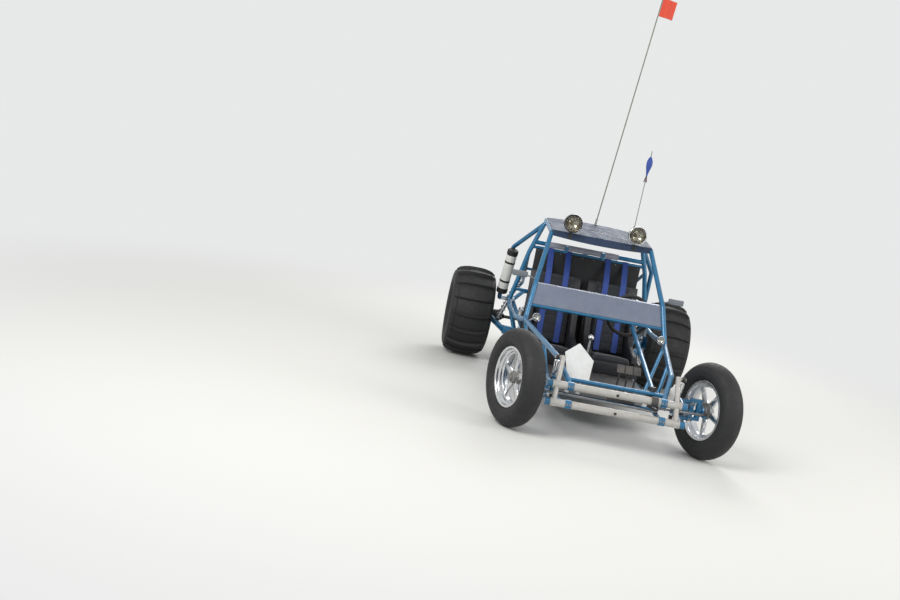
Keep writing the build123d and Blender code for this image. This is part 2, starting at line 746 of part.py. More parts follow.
def rear_arms():
    # Trailing arms from the torsion tube to the rear bearing housings.
    housing = cross_x((rear_half_track - 110, wheelbase, axle_height), 112, 130)
    blade = rod(arm_rear_foot, arm_rear_head, 50)
    boss = cross_x((554, torsion_station, torsion_height), torsion_diameter + 12, 68 - 2 * seat_gap)
    hole = cross_x((rear_half_track - 110, wheelbase, axle_height), 2 * (stub_radius + seat_gap), 400)
    arm = fused([housing, blade, boss]) - hole
    return [arm, mirrored(arm)]


def rear_shocks():
    # Coil dampers from the rear arms up to the inner stays.
    foot = along(arm_rear_foot, arm_rear_head, 0.46)
    head = along(hoop_waist, inner_bend, 0.6)
    shock = rod(foot, head, 30) + rod(along(foot, head, 0.12), along(foot, head, 0.8), 58)
    return [shock, mirrored(shock)]


def fuel_tank():
    # A spun tank lying across the two saddle tubes behind the hoop.
    slope = Vector(0, saddle_station - hoop_station, 858 - 700)
    up = Vector(0, -slope.Z, slope.Y).normalized()
    base = Vector(0, hoop_station, 700) + slope * 0.76
    centre = base + up * (125 + light_tube / 2 + seat_gap)
    return cross_x(tuple(centre), 250, 620)


def tow_tab():
    x, y, z = 0, bumper_point[1], bumper_point[2] - 50
    return Pos(x, y, z) * Box(12, 60, 84) - Pos(x, y, z - 12) * Rot(0, 90, 0) * Cylinder(tow_bore / 2, 40)


def pedals():
    # Three hung pads on one base, with two master cylinders between the levers.
    parts = [Pos(152, 350, floor_top + 9) * Box(190, 50, 18)]
    for x in (92, 152, 212):
        pad = Pos(x, 300, 470) * Rot(60, 0, 0) * Box(52, 62, 8)
        parts += [pad, rod((x, 306, 466), (x, 340, floor_top + 10), 14)]
    for x in (122, 182):
        parts.append(Pos(x, 340, floor_top + 26) * Box(24, 30, 24))
        parts.append(rod((x, 356, floor_top + 40), (x, 262, floor_top + 50), 30))
        parts.append(Pos(x, 290, floor_top + 76) * Cylinder(18, 50))
    return fused(parts)


def gear_shifter():
    y = seat_station - 170
    lever = rod((0, y, floor_top + 2), (0, y - 50, 520), 14)
    knob = Pos(0, y - 52, 530) * Sphere(24)
    boot = Pos(0, y + 2, floor_top + 20) * Cone(40, 16, 40)
    return fused([lever, knob, boot])


def build():
    nodes = {}
    hoop = main_hoop()
    side, rail = frame_side()
    other = mirrored(side)
    rails = [rail, mirrored(rail)]
    roof = less(roof_frame(), [hoop, side, other])
    rings = [cross_x((x, y, z), beam_tube_diameter + 2 * clamp_wall, 60)
             for x in (-clamp_x, clamp_x) for y, z in (upper_tube, lower_tube)]
    nodes["frame_side_left"] = less(side, [hoop] + rings)
    nodes["frame_side_right"] = less(other, [hoop] + rings)
    nodes["floor_rails"] = together([less(r, [hoop] + rings) for r in rails])
    dash, dash_bar = dash_panel()
    nodes["frame_cross"] = together([less(part, [side, other] + rails) for part in frame_cross() + [dash_bar]])
    nodes["main_hoop"] = hoop
    nodes["roof_frame"] = roof
    nodes["rear_frame"] = less(rear_frame(), [hoop])
    nodes["floor_pan"] = floor_pan()
    nodes["dash_panel"] = less(dash, [side, other])
    nodes["roof_panel"] = less(roof_panel(), [hoop, roof, side, other])
    nodes["toe_board"] = toe_board()
    nodes["firewall"] = less(firewall(), [hoop])
    nodes["storage_tube"] = storage_tube()
    nodes["bar_sleeve"] = bar_sleeve()
    nodes["front_beam"] = front_beam()
    nodes["beam_clamps"] = together(beam_clamps())
    arms = front_arms()
    nodes["front_arms"] = together([arms, mirrored(arms)])
    nodes["front_shocks"] = together([less(p, [nodes["front_beam"], nodes["front_arms"]]) for p in front_shocks()])
    left_knuckle = knuckle()
    right_knuckle = mirrored(left_knuckle)
    nodes["knuckle_left"] = turned(left_knuckle, kingpin_x)
    nodes["knuckle_right"] = turned(right_knuckle, -kingpin_x)
    for name, x in (("left", 1), ("right", -1)):
        for piece, shape in (("tyre", front_tyre()), ("rim", front_rim()), ("hub", front_hub())):
            placed = wheel_axis(shape, x, front_half_track, 0, front_tyre_radius)
            nodes[f"front_{piece}_{name}"] = turned(placed, x * kingpin_x)
        for piece, shape in (("tyre", rear_tyre()), ("rim", rear_rim())):
            nodes[f"rear_{piece}_{name}"] = wheel_axis(shape, x, rear_half_track, wheelbase, axle_height)
        nodes[f"drive_shaft_{name}"] = wheel_axis(drive_shaft(), x, rear_half_track, wheelbase, axle_height)
    nodes["steering_box"] = steering_box()
    px, py = pitman_axis
    nodes["pitman_arm"] = turned(pitman_arm(), px, py)
    swing_x = steering_arm_length * sin(radians(steer_at_rest))
    swing_y = -steering_arm_length * cos(radians(steer_at_rest))
    pivot = (px + swing_x, py + swing_y)
    for name, x in (("left", kingpin_x), ("right", -kingpin_x)):
        end = (x + swing_x, swing_y)
        level = beam_height + (tie_rod_offset if name == "left" else -tie_rod_offset)
        nodes[f"tie_rod_{name}"] = rod((pivot[0], pivot[1], level), (end[0], end[1], level), tie_rod_diameter)
    nodes["steering_column"] = less(steering_column(), [nodes["steering_box"]])
    nodes["steering_wheel"] = steering_wheel()
    nodes["pedals"] = pedals()
    nodes["gear_shifter"] = gear_shifter()
    nodes["seats"] = together([seat(-seat_x), seat(seat_x)])
    nodes["harnesses"] = together(harness(-seat_x) + harness(seat_x))
    nodes["driving_lamps"] = together(driving_lamps())
    nodes["marker_lamps"] = together([less(p, [side, other]) for p in marker_lamps()])
    nodes["mirrors"] = together([less(p, [side, other]) for p in mirrors()])
    nodes["whips"] = together(whips())
    nodes["flag_tall"], nodes["flag_short"] = flags()
    nodes["transaxle"] = transaxle()
    nodes["engine"] = engine()
    nodes["fan_shroud"] = fan_shroud()
    nodes["generator"] = generator()
    nodes["intake"] = together([less(p, [nodes["engine"]]) for p in intake()])
    nodes["exhaust"] = less(exhaust(), [nodes["engine"]])
    frame = nodes["rear_frame"]
    nodes["rear_arms"] = together([less(arm, [frame]) for arm in rear_arms()])
    nodes["rear_shocks"] = together([less(shock, [frame] + rear_arms()) for shock in rear_shocks()])
    nodes["fuel_tank"] = fuel_tank()
    nodes["tow_tab"] = less(tow_tab(), [nodes["rear_frame"]])
    return nodes


def main():
    os.makedirs("parts", exist_ok=True)
    nodes = build()
    box = together(nodes.values()).bounding_box()
    shift = -(box.min.Y + box.max.Y) / 2
    print("front axle at Y", round(shift, 3), "box", box.min, box.max)
    for name, shape in nodes.items():
        export_step(together([Pos(0, shift, 0) * solid for solid in solids_of(shape)]), f"parts/{name}.step")


main()
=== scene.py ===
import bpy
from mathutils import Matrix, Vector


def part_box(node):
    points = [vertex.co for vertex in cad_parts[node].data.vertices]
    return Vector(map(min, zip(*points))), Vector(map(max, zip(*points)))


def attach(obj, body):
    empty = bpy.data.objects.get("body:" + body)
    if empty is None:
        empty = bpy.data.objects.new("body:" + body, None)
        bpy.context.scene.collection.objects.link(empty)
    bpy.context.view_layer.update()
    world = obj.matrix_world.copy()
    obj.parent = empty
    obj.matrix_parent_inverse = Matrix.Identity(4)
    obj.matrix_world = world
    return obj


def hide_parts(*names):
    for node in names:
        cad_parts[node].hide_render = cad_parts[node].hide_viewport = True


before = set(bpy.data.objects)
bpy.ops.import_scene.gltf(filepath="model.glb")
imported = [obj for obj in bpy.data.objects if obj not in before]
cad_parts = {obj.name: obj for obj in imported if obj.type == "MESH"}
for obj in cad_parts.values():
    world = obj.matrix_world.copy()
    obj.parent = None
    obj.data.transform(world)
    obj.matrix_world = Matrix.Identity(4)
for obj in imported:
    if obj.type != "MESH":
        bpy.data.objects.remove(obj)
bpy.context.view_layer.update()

from math import atan2, cos, hypot, pi, radians, sin

import bmesh
import bpy
from mathutils import Matrix, Vector

# Two-seat tube-frame dune buggy. Metres; +X is the driver's side, +Y the rear, Z up.
# Stations are counted rearwards from the front axle, as in the part's own source.

layout = {
    "wheelbase": 2.4,
    "frontHalfTrack": 0.681,
    "rearHalfTrack": 0.870,
    "kingpin": 0.607,
    "frontAxleHeight": 0.336,
    "rearAxleHeight": 0.388,
    "steerDegrees": 20,      # both front wheels stand turned to the driver's side
}
rearLow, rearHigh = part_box("rear_tyre_left")
frontAxleY = (rearLow.y + rearHigh.y) / 2 - layout["wheelbase"]


def spot(x, station, z):
    return Vector((x, frontAxleY + station, z))


def linear(hexColour):
    channels = [int(hexColour[i:i + 2], 16) / 255 for i in (1, 3, 5)]
    return (*[c / 12.92 if c <= 0.04045 else ((c + 0.055) / 1.055) ** 2.4 for c in channels], 1)


def addNode(tree, kind, links=None, **settings):
    node = tree.nodes.new(kind)
    for name, value in settings.items():
        setattr(node, name, value)
    for socket, value in (links or {}).items():
        if isinstance(value, bpy.types.NodeSocket):
            tree.links.new(value, node.inputs[socket])
        else:
            node.inputs[socket].default_value = value
    return node


def perMetre(millimetres):
    return 1000 / millimetres     # a noise scale whose features are that far apart


def startMaterial(name, look):
    material = bpy.data.materials.new(name)
    material.use_nodes = True
    tree = material.node_tree
    shader = tree.nodes["Principled BSDF"]
    shader.inputs["Base Color"].default_value = linear(look["colour"])
    shader.inputs["Metallic"].default_value = look.get("metallic", 0)
    shader.inputs["Roughness"].default_value = look["roughness"]
    if "ior" in look:
        shader.inputs["IOR"].default_value = look["ior"]
    shader.inputs["Coat Weight"].default_value = look.get("coat", 0)
    shader.inputs["Coat Roughness"].default_value = look.get("coatRoughness", 0.05)
    place = addNode(tree, "ShaderNodeTexCoord").outputs["Object"]
    return material, tree, shader, place


def mottled(tree, place, look, share):
    # two colours broken up by a soft noise of a real size
    cloud = addNode(tree, "ShaderNodeTexNoise", {"Vector": place, "Scale": perMetre(look["patch"]),
        "Detail": 5.0, "Roughness": 0.6}).outputs["Fac"]
    ramp = addNode(tree, "ShaderNodeValToRGB", {"Fac": cloud})
    for index, colour in enumerate((look["colour"], look["shade"])):
        ramp.color_ramp.elements[index].position = 0.5 + share * (index - 0.5)
        ramp.color_ramp.elements[index].color = linear(colour)
    return ramp.outputs["Color"], cloud


sandLook = {"colour": "#b7a283", "patch": 60, "thickBelow": 0.15, "thinAbove": 0.9}


def dusted(tree, place, colour, amount):
    # dry sand lying on faces that look up, thicker low down
    normal = addNode(tree, "ShaderNodeNewGeometry").outputs["Normal"]
    up = addNode(tree, "ShaderNodeSeparateXYZ", {"Vector": normal}).outputs["Z"]
    height = addNode(tree, "ShaderNodeSeparateXYZ", {"Vector": place}).outputs["Z"]
    low = addNode(tree, "ShaderNodeMapRange", {"Value": height, "From Min": sandLook["thickBelow"],
        "From Max": sandLook["thinAbove"], "To Min": 1.0, "To Max": 0.25}).outputs["Result"]
    facing = addNode(tree, "ShaderNodeMapRange", {"Value": up, "From Min": -0.1, "From Max": 1.0,
        "To Min": 0.15, "To Max": 1.0}).outputs["Result"]
    cloud = addNode(tree, "ShaderNodeTexNoise", {"Vector": place, "Scale": perMetre(sandLook["patch"]),
        "Detail": 8.0, "Roughness": 0.65}).outputs["Fac"]
    cloud = addNode(tree, "ShaderNodeMapRange", {"Value": cloud, "From Min": 0.38,
        "From Max": 0.72}).outputs["Result"]
    both = addNode(tree, "ShaderNodeMath", {0: low, 1: facing}, operation="MULTIPLY").outputs["Value"]
    share = addNode(tree, "ShaderNodeMath", {0: both, 1: cloud}, operation="MULTIPLY").outputs["Value"]
    share = addNode(tree, "ShaderNodeMath", {0: share, 1: amount}, operation="MULTIPLY").outputs["Value"]
    mix = addNode(tree, "ShaderNodeMix", {0: share, 6: colour, 7: linear(sandLook["colour"])},
        data_type="RGBA")
    return mix.outputs[2], share


def sandySkin(name, look, share):
    # the mottled, dusted colour that most of the finishes start from
    material, tree, shader, place = startMaterial(name, look)
    colour, cloud = mottled(tree, place, look, share)
    colour, dust = dusted(tree, place, colour, look["dust"])
    tree.links.new(colour, shader.inputs["Base Color"])
    return material, tree, shader, place, cloud, dust


def surfaced(tree, shader, look, height, depth, wear=None):
    # raises the skin by a pattern and, where a wear pattern is given, dulls it in patches
    if wear is not None:
        spread = addNode(tree, "ShaderNodeMapRange", {"Value": wear, "From Min": 0.3, "From Max": 0.7,
            "To Min": look["roughness"], "To Max": look["worn"]})
        tree.links.new(spread.outputs["Result"], shader.inputs["Roughness"])
    bump = addNode(tree, "ShaderNodeBump", {"Height": height, "Strength": 1.0, "Distance": depth})
    tree.links.new(bump.outputs["Normal"], shader.inputs["Normal"])


def paintedMetal(name, look):
    # sprayed enamel on metal: slight orange peel, a gloss coat where the look has one, sand on top
    material, tree, shader, place, cloud, dust = sandySkin(name, look, 0.5)
    peel = addNode(tree, "ShaderNodeTexNoise", {"Vector": place, "Scale": perMetre(look["peel"]),
        "Detail": 3.0}).outputs["Fac"]
    dulled = addNode(tree, "ShaderNodeMath", {0: cloud, 1: dust}, operation="ADD").outputs["Value"]
    surfaced(tree, shader, look, peel, 0.0003, dulled)
    return material


def bareMetal(name, look):
    # bare or plated metal: fine scratches along one way, handled patches
    material, tree, shader, place = startMaterial(name, look)
    colour = mottled(tree, place, look, 0.6)[0]
    if look.get("dust"):
        colour = dusted(tree, place, colour, look["dust"])[0]
    tree.links.new(colour, shader.inputs["Base Color"])
    stretched = addNode(tree, "ShaderNodeMapping", {"Vector": place,
        "Scale": look["brush"]}).outputs["Vector"]
    scratch = addNode(tree, "ShaderNodeTexNoise", {"Vector": stretched, "Scale": perMetre(look["grain"]),
        "Detail": 6.0}).outputs["Fac"]
    surfaced(tree, shader, look, scratch, look["depth"], scratch)
    return material


def pebbled(name, look, share, feature):
    # a skin of small rounded grains
    material, tree, shader, place, cloud, dust = sandySkin(name, look, share)
    cells = {"Vector": place, "Scale": perMetre(look["grain"])}
    grains = addNode(tree, "ShaderNodeTexVoronoi", cells, feature=feature).outputs["Distance"]
    surfaced(tree, shader, look, grains, look["depth"], cloud)
    return material


def castMetal(name, look):
    # sand-cast or forged skin
    return pebbled(name, look, 0.5, "SMOOTH_F1")


def moulded(name, look):
    # moulded plastic with a fine spark-eroded grain
    return pebbled(name, look, 0.6, "F1")


def rubber(name, look):
    # cured rubber or vinyl: matt and soft-grained
    material, tree, shader, place, cloud, dust = sandySkin(name, look, 0.5)
    skin = addNode(tree, "ShaderNodeTexNoise", {"Vector": place, "Scale": perMetre(look["grain"]),
        "Detail": 4.0}).outputs["Fac"]
    surfaced(tree, shader, look, skin, look["depth"], cloud)
    return material


def bandsEvery(millimetres):
    return perMetre(millimetres) * pi / 10     # a wave scale whose crests are that far apart


def woven(name, look):
    # woven cloth drawn as two crossed sets of soft waves, much wider apart than its real threads
    material, tree, shader, place = startMaterial(name, look)
    tree.links.new(mottled(tree, place, look, 0.6)[0], shader.inputs["Base Color"])
    wave = {"Vector": place, "Scale": bandsEvery(look["weave"])}
    warp, weft = [addNode(tree, "ShaderNodeTexWave", wave, bands_direction=way) for way in ("X", "Z")]
    threads = addNode(tree, "ShaderNodeMath", {0: warp.outputs["Fac"], 1: weft.outputs["Fac"]},
        operation="MAXIMUM").outputs["Value"]
    surfaced(tree, shader, look, threads, look["depth"])
    shader.inputs["Sheen Weight"].default_value = look["sheen"]
    shader.inputs["Sheen Roughness"].default_value = 0.5
    return material


looks = {
    # metallic enamel on steel tube: a clear blue flake coat
    "blueEnamel": (paintedMetal, {"colour": "#1a719d", "shade": "#135f88", "metallic": 0.3,
        "roughness": 0.26, "worn": 0.42, "coat": 0.6, "patch": 40, "peel": 2.5, "dust": 0.14}),
    # silver wheel paint on the beam: pale and slightly grained
    "silverPaint": (paintedMetal, {"colour": "#b9b7b3", "shade": "#a5a39f", "metallic": 0.3,
        "roughness": 0.36, "worn": 0.6, "coat": 0.3, "patch": 30, "peel": 2.0, "dust": 0.35}),
    # half-hard aluminium sheet, rolled: faint lines across the car, soft sheen
    "rolledAluminium": (bareMetal, {"colour": "#7b8394", "shade": "#6d7586", "metallic": 0.75,
        "roughness": 0.38, "worn": 0.55, "patch": 90, "brush": (0.05, 1, 1), "grain": 1.2,
        "depth": 0.00012, "dust": 0.3}),
    # dark blue enamel on the roof sheet, chalked a little by sun
    "roofEnamel": (paintedMetal, {"colour": "#203552", "shade": "#1a2d48", "roughness": 0.58,
        "worn": 0.72, "patch": 70, "peel": 3.0, "dust": 0.12}),
    # white enamel on a flat plate
    "whiteEnamel": (paintedMetal, {"colour": "#dcdedd", "shade": "#d1d3d2", "roughness": 0.35,
        "worn": 0.55, "coat": 0.3, "patch": 60, "peel": 2.5, "dust": 0.35}),
    # black-painted sheet behind the seats, matt
    "blackSheet": (paintedMetal, {"colour": "#16171a", "shade": "#1d1e21", "roughness": 0.55,
        "worn": 0.75, "patch": 50, "peel": 2.0, "dust": 0.12}),
    # white PVC tube: waxy, low gloss
    "whitePvc": (moulded, {"colour": "#dfe0dd", "shade": "#d5d5cf", "roughness": 0.38, "worn": 0.55,
        "ior": 1.53, "patch": 80, "grain": 1.5, "depth": 0.00005, "dust": 0.3}),
    # tyre tread rubber, lightly dusted with sand
    "tyreRubber": (rubber, {"colour": "#141517", "shade": "#191a1c", "roughness": 0.6, "worn": 0.8,
        "ior": 1.52, "patch": 30, "grain": 2.0, "depth": 0.0002, "dust": 0.05}),
    # polished cast aluminium wheel
    "polishedAlloy": (bareMetal, {"colour": "#dcdee0", "shade": "#c8cacd", "metallic": 1.0,
        "roughness": 0.12, "worn": 0.3, "patch": 35, "brush": (1, 1, 1), "grain": 1.5, "depth": 0.00004,
        "dust": 0.15}),
    # cast and forged iron, dull with an oily darkness
    "darkIron": (castMetal, {"colour": "#5a5a5c", "shade": "#474748", "metallic": 0.85, "roughness": 0.45,
        "worn": 0.65, "patch": 15, "grain": 1.6, "depth": 0.00015, "dust": 0.3}),
    # turned and plated steel
    "zincSteel": (bareMetal, {"colour": "#9a9c9f", "shade": "#85878a", "metallic": 1.0, "roughness": 0.3,
        "worn": 0.5, "patch": 20, "brush": (1, 1, 0.1), "grain": 0.9, "depth": 0.00006, "dust": 0.2}),
    # chrome plate
    "chromePlate": (bareMetal, {"colour": "#e0e2e4", "shade": "#d4d6d9", "metallic": 1.0,
        "roughness": 0.06, "worn": 0.16, "patch": 40, "brush": (1, 1, 1), "grain": 2.0, "depth": 0.00002,
        "dust": 0.1}),
    # black moulded rubber
    "softRubber": (rubber, {"colour": "#121213", "shade": "#1a1a1b", "roughness": 0.55, "worn": 0.75,
        "ior": 1.52, "patch": 20, "grain": 1.2, "depth": 0.0001, "dust": 0.25}),
    # seat vinyl: leather-grained, semi-matt
    "seatVinyl": (rubber, {"colour": "#1b1c20", "shade": "#222327", "roughness": 0.45, "worn": 0.62,
        "ior": 1.5, "patch": 50, "grain": 2.2, "depth": 0.00025, "dust": 0.06}),
    # seat centre cloth: its weave is drawn as soft 40 mm waves, far coarser than real threads
    "seatCloth": (woven, {"colour": "#24272e", "shade": "#1d2027", "roughness": 0.85, "ior": 1.5,
        "patch": 30, "weave": 40, "depth": 0.0004, "sheen": 0.25}),
    # polyester webbing: its ribs are drawn as soft 36 mm waves, far coarser than real ones
    "harnessWebbing": (woven, {"colour": "#1c4295", "shade": "#173880", "roughness": 0.6, "ior": 1.55,
        "patch": 25, "weave": 36, "depth": 0.0003, "sheen": 0.3}),
    # grey ABS
    "greyAbs": (moulded, {"colour": "#6f757b", "shade": "#656a70", "roughness": 0.45, "worn": 0.6,
        "ior": 1.54, "patch": 40, "grain": 1.2, "depth": 0.00008, "dust": 0.3}),
    # ripstop nylon flags: the weave is drawn as soft 50 mm waves, far coarser than real threads
    "orangeNylon": (woven, {"colour": "#d8452a", "shade": "#c93d22", "roughness": 0.6, "ior": 1.53,
        "patch": 30, "weave": 50, "depth": 0.0002, "sheen": 0.2}),
    "blueNylon": (woven, {"colour": "#24479f", "shade": "#1d3d8d", "roughness": 0.6, "ior": 1.53,
        "patch": 30, "weave": 50, "depth": 0.0002, "sheen": 0.2}),
    "maroonNylon": (woven, {"colour": "#5b2230", "shade": "#4c1b28", "roughness": 0.6, "ior": 1.53,
        "patch": 30, "weave": 50, "depth": 0.0002, "sheen": 0.2}),
    # dark grey enamel on the floor sheet, scuffed and lightly sanded
    "floorSheet": (paintedMetal, {"colour": "#2b2e33", "shade": "#33363b", "roughness": 0.5, "worn": 0.7,
        "patch": 60, "peel": 2.0, "dust": 0.14}),
    # sand-cast aluminium, dull grey
    "castAlloy": (castMetal, {"colour": "#8d8e8d", "shade": "#7b7c7b", "metallic": 0.8, "roughness": 0.45,
        "worn": 0.62, "patch": 25, "grain": 1.5, "depth": 0.0002, "dust": 0.3}),
    # oil-hardened spring steel, stoved pale grey
    "springSteel": (paintedMetal, {"colour": "#c9cbcc", "shade": "#b6b8b9", "metallic": 0.2,
        "roughness": 0.3, "worn": 0.5, "coat": 0.3, "patch": 20, "peel": 2.0, "dust": 0.2}),
    # silvered mirror glass seen through its clear face
    "mirrorSilver": (bareMetal, {"colour": "#e6e9ea", "shade": "#dde1e3", "metallic": 1.0,
        "roughness": 0.03, "worn": 0.08, "patch": 60, "brush": (1, 1, 1), "grain": 3.0,
        "depth": 0.000005}),
    # pultruded glass fibre whip, grey-green under its clear resin
    "glassFibre": (moulded, {"colour": "#7b7f72", "shade": "#6c7064", "roughness": 0.35, "worn": 0.5,
        "ior": 1.52, "patch": 60, "grain": 1.5, "depth": 0.00003, "dust": 0.05}),
    # sleeve round the crossbar, grained like vinyl; its pale lilac grey is a painted sky reflection on the
    # glossy bar
    "sleeveVinyl": (rubber, {"colour": "#a6a8b4", "shade": "#9698a5", "roughness": 0.5, "worn": 0.66,
        "ior": 1.5, "patch": 40, "grain": 2.0, "depth": 0.00015, "dust": 0.2}),
    # smoked bowl of a lamp reflector, darkened bronze
    "smokedReflector": (bareMetal, {"colour": "#b5ad99", "shade": "#9d9583", "metallic": 1.0,
        "roughness": 0.12, "worn": 0.24, "patch": 12, "brush": (1, 1, 1), "grain": 2.5,
        "depth": 0.00002}),
    # stoved black enamel on engine tinware
    "engineEnamel": (paintedMetal, {"colour": "#131416", "shade": "#1b1c1e", "roughness": 0.25,
        "worn": 0.5, "coat": 0.5, "patch": 35, "peel": 2.5, "dust": 0.25}),
}
materials = {name: maker(name, look) for name, (maker, look) in looks.items()}

slotFinish = {
    "frame_paint": "blueEnamel", "beam_paint": "silverPaint", "sheet": "rolledAluminium",
    "roof_paint": "roofEnamel", "white_paint": "whiteEnamel", "black_panel": "blackSheet",
    "pale_plastic": "whitePvc", "tyre": "tyreRubber", "alloy": "polishedAlloy", "iron": "darkIron",
    "steel": "zincSteel", "chrome": "chromePlate", "black_rubber": "softRubber",
    "seat_cloth": "seatVinyl", "strap": "harnessWebbing", "grey_plastic": "greyAbs",
    "flag_orange": "orangeNylon", "flag_blue": "blueNylon", "cast_alloy": "castAlloy",
    "engine_black": "engineEnamel",
}
nodeFinish = {      # nodes whose finish isn't their slot's
    "floor_pan": "floorSheet", "knuckle_left": "blueEnamel", "knuckle_right": "blueEnamel",
    "pedals": "darkIron", "steering_column": "blueEnamel", "whips": "glassFibre",
    # the bar sleeve's pale lilac colour is a painted sky reflection
    "bar_sleeve": "sleeveVinyl", "fuel_tank": "polishedAlloy", "intake": "castAlloy",
}
for node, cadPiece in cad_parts.items():
    carried = [m.name for m in cadPiece.data.materials if m]
    found = next((s for s in slotFinish if any(s in name for name in carried)), "frame_paint")
    for index in range(max(1, len(cadPiece.data.materials))):
        if index < len(cadPiece.data.materials):
            cadPiece.data.materials[index] = materials[slotFinish[found]]
        else:
            cadPiece.data.materials.append(materials[slotFinish[found]])
for node, finish in nodeFinish.items():
    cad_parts[node].data.materials[0] = materials[finish]
print("materials done", len(materials), "nodes", len(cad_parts))


def finishPiece(bm, name, finish, body="chassis", stands=(), crease=32):
    mesh = bpy.data.meshes.new(name)
    bm.to_mesh(mesh)
    bm.free()
    mesh.shade_smooth()
    mesh.set_sharp_from_angle(angle=radians(crease))
    mesh.materials.append(materials[finish])
    piece = bpy.data.objects.new(name, mesh)
    bpy.context.scene.collection.objects.link(piece)
    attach(piece, body)
    if stands:
        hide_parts(*stands)
    return piece


def lathe(bm, outline, place=Matrix(), steps=48, ring=False):
    # (radius, height) points turned about the local Z; ring closes the outline on itself
    known = set(bm.verts)
    verts = [bm.verts.new((r, 0, z)) for r, z in outline]
    pairs = list(zip(verts, verts[1:])) + ([(verts[-1], verts[0])] if ring else [])
    edges = [bm.edges.new(pair) for pair in pairs]
    bmesh.ops.spin(bm, geom=verts + edges, cent=(0, 0, 0), axis=(0, 0, 1), angle=2 * pi, steps=steps,
        use_merge=True)
    made = [v for v in bm.verts if v not in known]
    bmesh.ops.remove_doubles(bm, verts=made, dist=1e-6)
    made = [v for v in bm.verts if v not in known]
    bmesh.ops.recalc_face_normals(bm, faces=list({f for v in made for f in v.link_faces}))
    bmesh.ops.transform(bm, matrix=place, verts=made)


def bevelled(bm, verts, width, segments=2, least=30):
    shared = {e for v in verts for e in v.link_edges if len(e.link_faces) == 2}
    sharp = [e for e in shared if e.calc_face_angle(0) > radians(least)]
    bmesh.ops.bevel(bm, geom=sharp, offset=width, segments=segments, profile=0.5, affect="EDGES",
        material=-1)


def aimed(start, end):
    start, end = Vector(start), Vector(end)
    return Matrix.Translation(start) @ (end - start).to_track_quat("Z", "Y").to_matrix().to_4x4()


def bar(bm, start, end, radius, far=None, sides=20, edge=0):
    length = (Vector(end) - Vector(start)).length
    place = aimed(start, end) @ Matrix.Translation((0, 0, length / 2))
    made = bmesh.ops.create_cone(bm, cap_ends=True, segments=sides, radius1=radius,
        radius2=radius if far is None else far, depth=length, matrix=place)["verts"]
    if edge:
        bevelled(bm, made, edge)


def block(bm, size, place, edge=0.0, segments=2):
    made = bmesh.ops.create_cube(bm, size=1, matrix=place @ Matrix.Diagonal((*size, 1)))["verts"]
    if edge:
        bevelled(bm, made, edge, segments)


def bolt(bm, at, axis, width=0.013):
    # a hexagon head on a plain washer
    place = aimed(at, Vector(at) + Vector(axis))
    bmesh.ops.create_cone(bm, cap_ends=True, segments=20, radius1=width * 0.8, radius2=width * 0.8,
        depth=width * 0.16, matrix=place @ Matrix.Translation((0, 0, width * 0.08)))
    above = place @ Matrix.Translation((0, 0, width * 0.46))
    head = bmesh.ops.create_cone(bm, cap_ends=True, segments=6, radius1=width * 0.577,
        radius2=width * 0.577, depth=width * 0.6, matrix=above)["verts"]
    bevelled(bm, head, width * 0.05, 1, 50)


def coilSpring(bm, start, end, radius, wire, turns, perTurn=18, sides=8):
    length = (Vector(end) - Vector(start)).length
    known = set(bm.verts)
    section = Matrix.Translation((radius, 0, wire)) @ Matrix.Rotation(pi / 2, 4, "X")
    ring = bmesh.ops.create_circle(bm, cap_ends=False, segments=sides, radius=wire,
        matrix=section)["verts"]
    edges = list({e for v in ring for e in v.link_edges})
    steps = int(turns * perTurn)
    bmesh.ops.spin(bm, geom=ring + edges, cent=(0, 0, 0), axis=(0, 0, 1),
        dvec=(0, 0, (length - 2 * wire) / steps), angle=2 * pi * turns, steps=steps, use_merge=False)
    made = [v for v in bm.verts if v not in known]
    loose = [e for e in {e for v in made for e in v.link_edges} if len(e.link_faces) == 1]
    bmesh.ops.holes_fill(bm, edges=loose, sides=sides)
    bmesh.ops.recalc_face_normals(bm, faces=list({f for v in made for f in v.link_faces}))
    bmesh.ops.transform(bm, matrix=aimed(start, end), verts=made)


def acrossCar(at):
    # lays a lathe's axis along X
    return Matrix.Translation(at) @ Matrix.Rotation(pi / 2, 4, "Y")


def forwards(at):
    # lays a lathe's axis along the car, pointing ahead
    return Matrix.Translation(at) @ Matrix.Rotation(pi / 2, 4, "X")


def sideSpot(side, point):
    return spot(side * point[0], *point[1:])


def evenAngles(count, first=0.0):
    return [2 * pi * index / count + first for index in range(count)]


def rivet(bm, at, way):
    lathe(bm, [(0, 0.0022), (0.0026, 0.0017), (0.0042, 0), (0, 0)], aimed(at, at + way), 14)


def wheelPlace(side, front):
    # local Z points out of the car along the axle
    name = "front" if front else "rear"
    station = 0 if front else layout["wheelbase"]
    centre = spot(side * layout[name + "HalfTrack"], station, layout[name + "AxleHeight"])
    lay = Matrix.Translation(centre) @ Matrix.Rotation(radians(90 * side), 4, "Y")
    if not front:
        return lay
    pin = spot(side * layout["kingpin"], 0, 0)
    turned = Matrix.Rotation(radians(layout["steerDegrees"]), 4, "Z")
    return Matrix.Translation(pin) @ turned @ Matrix.Translation(-pin) @ lay


sides = (("left", 1), ("right", -1))

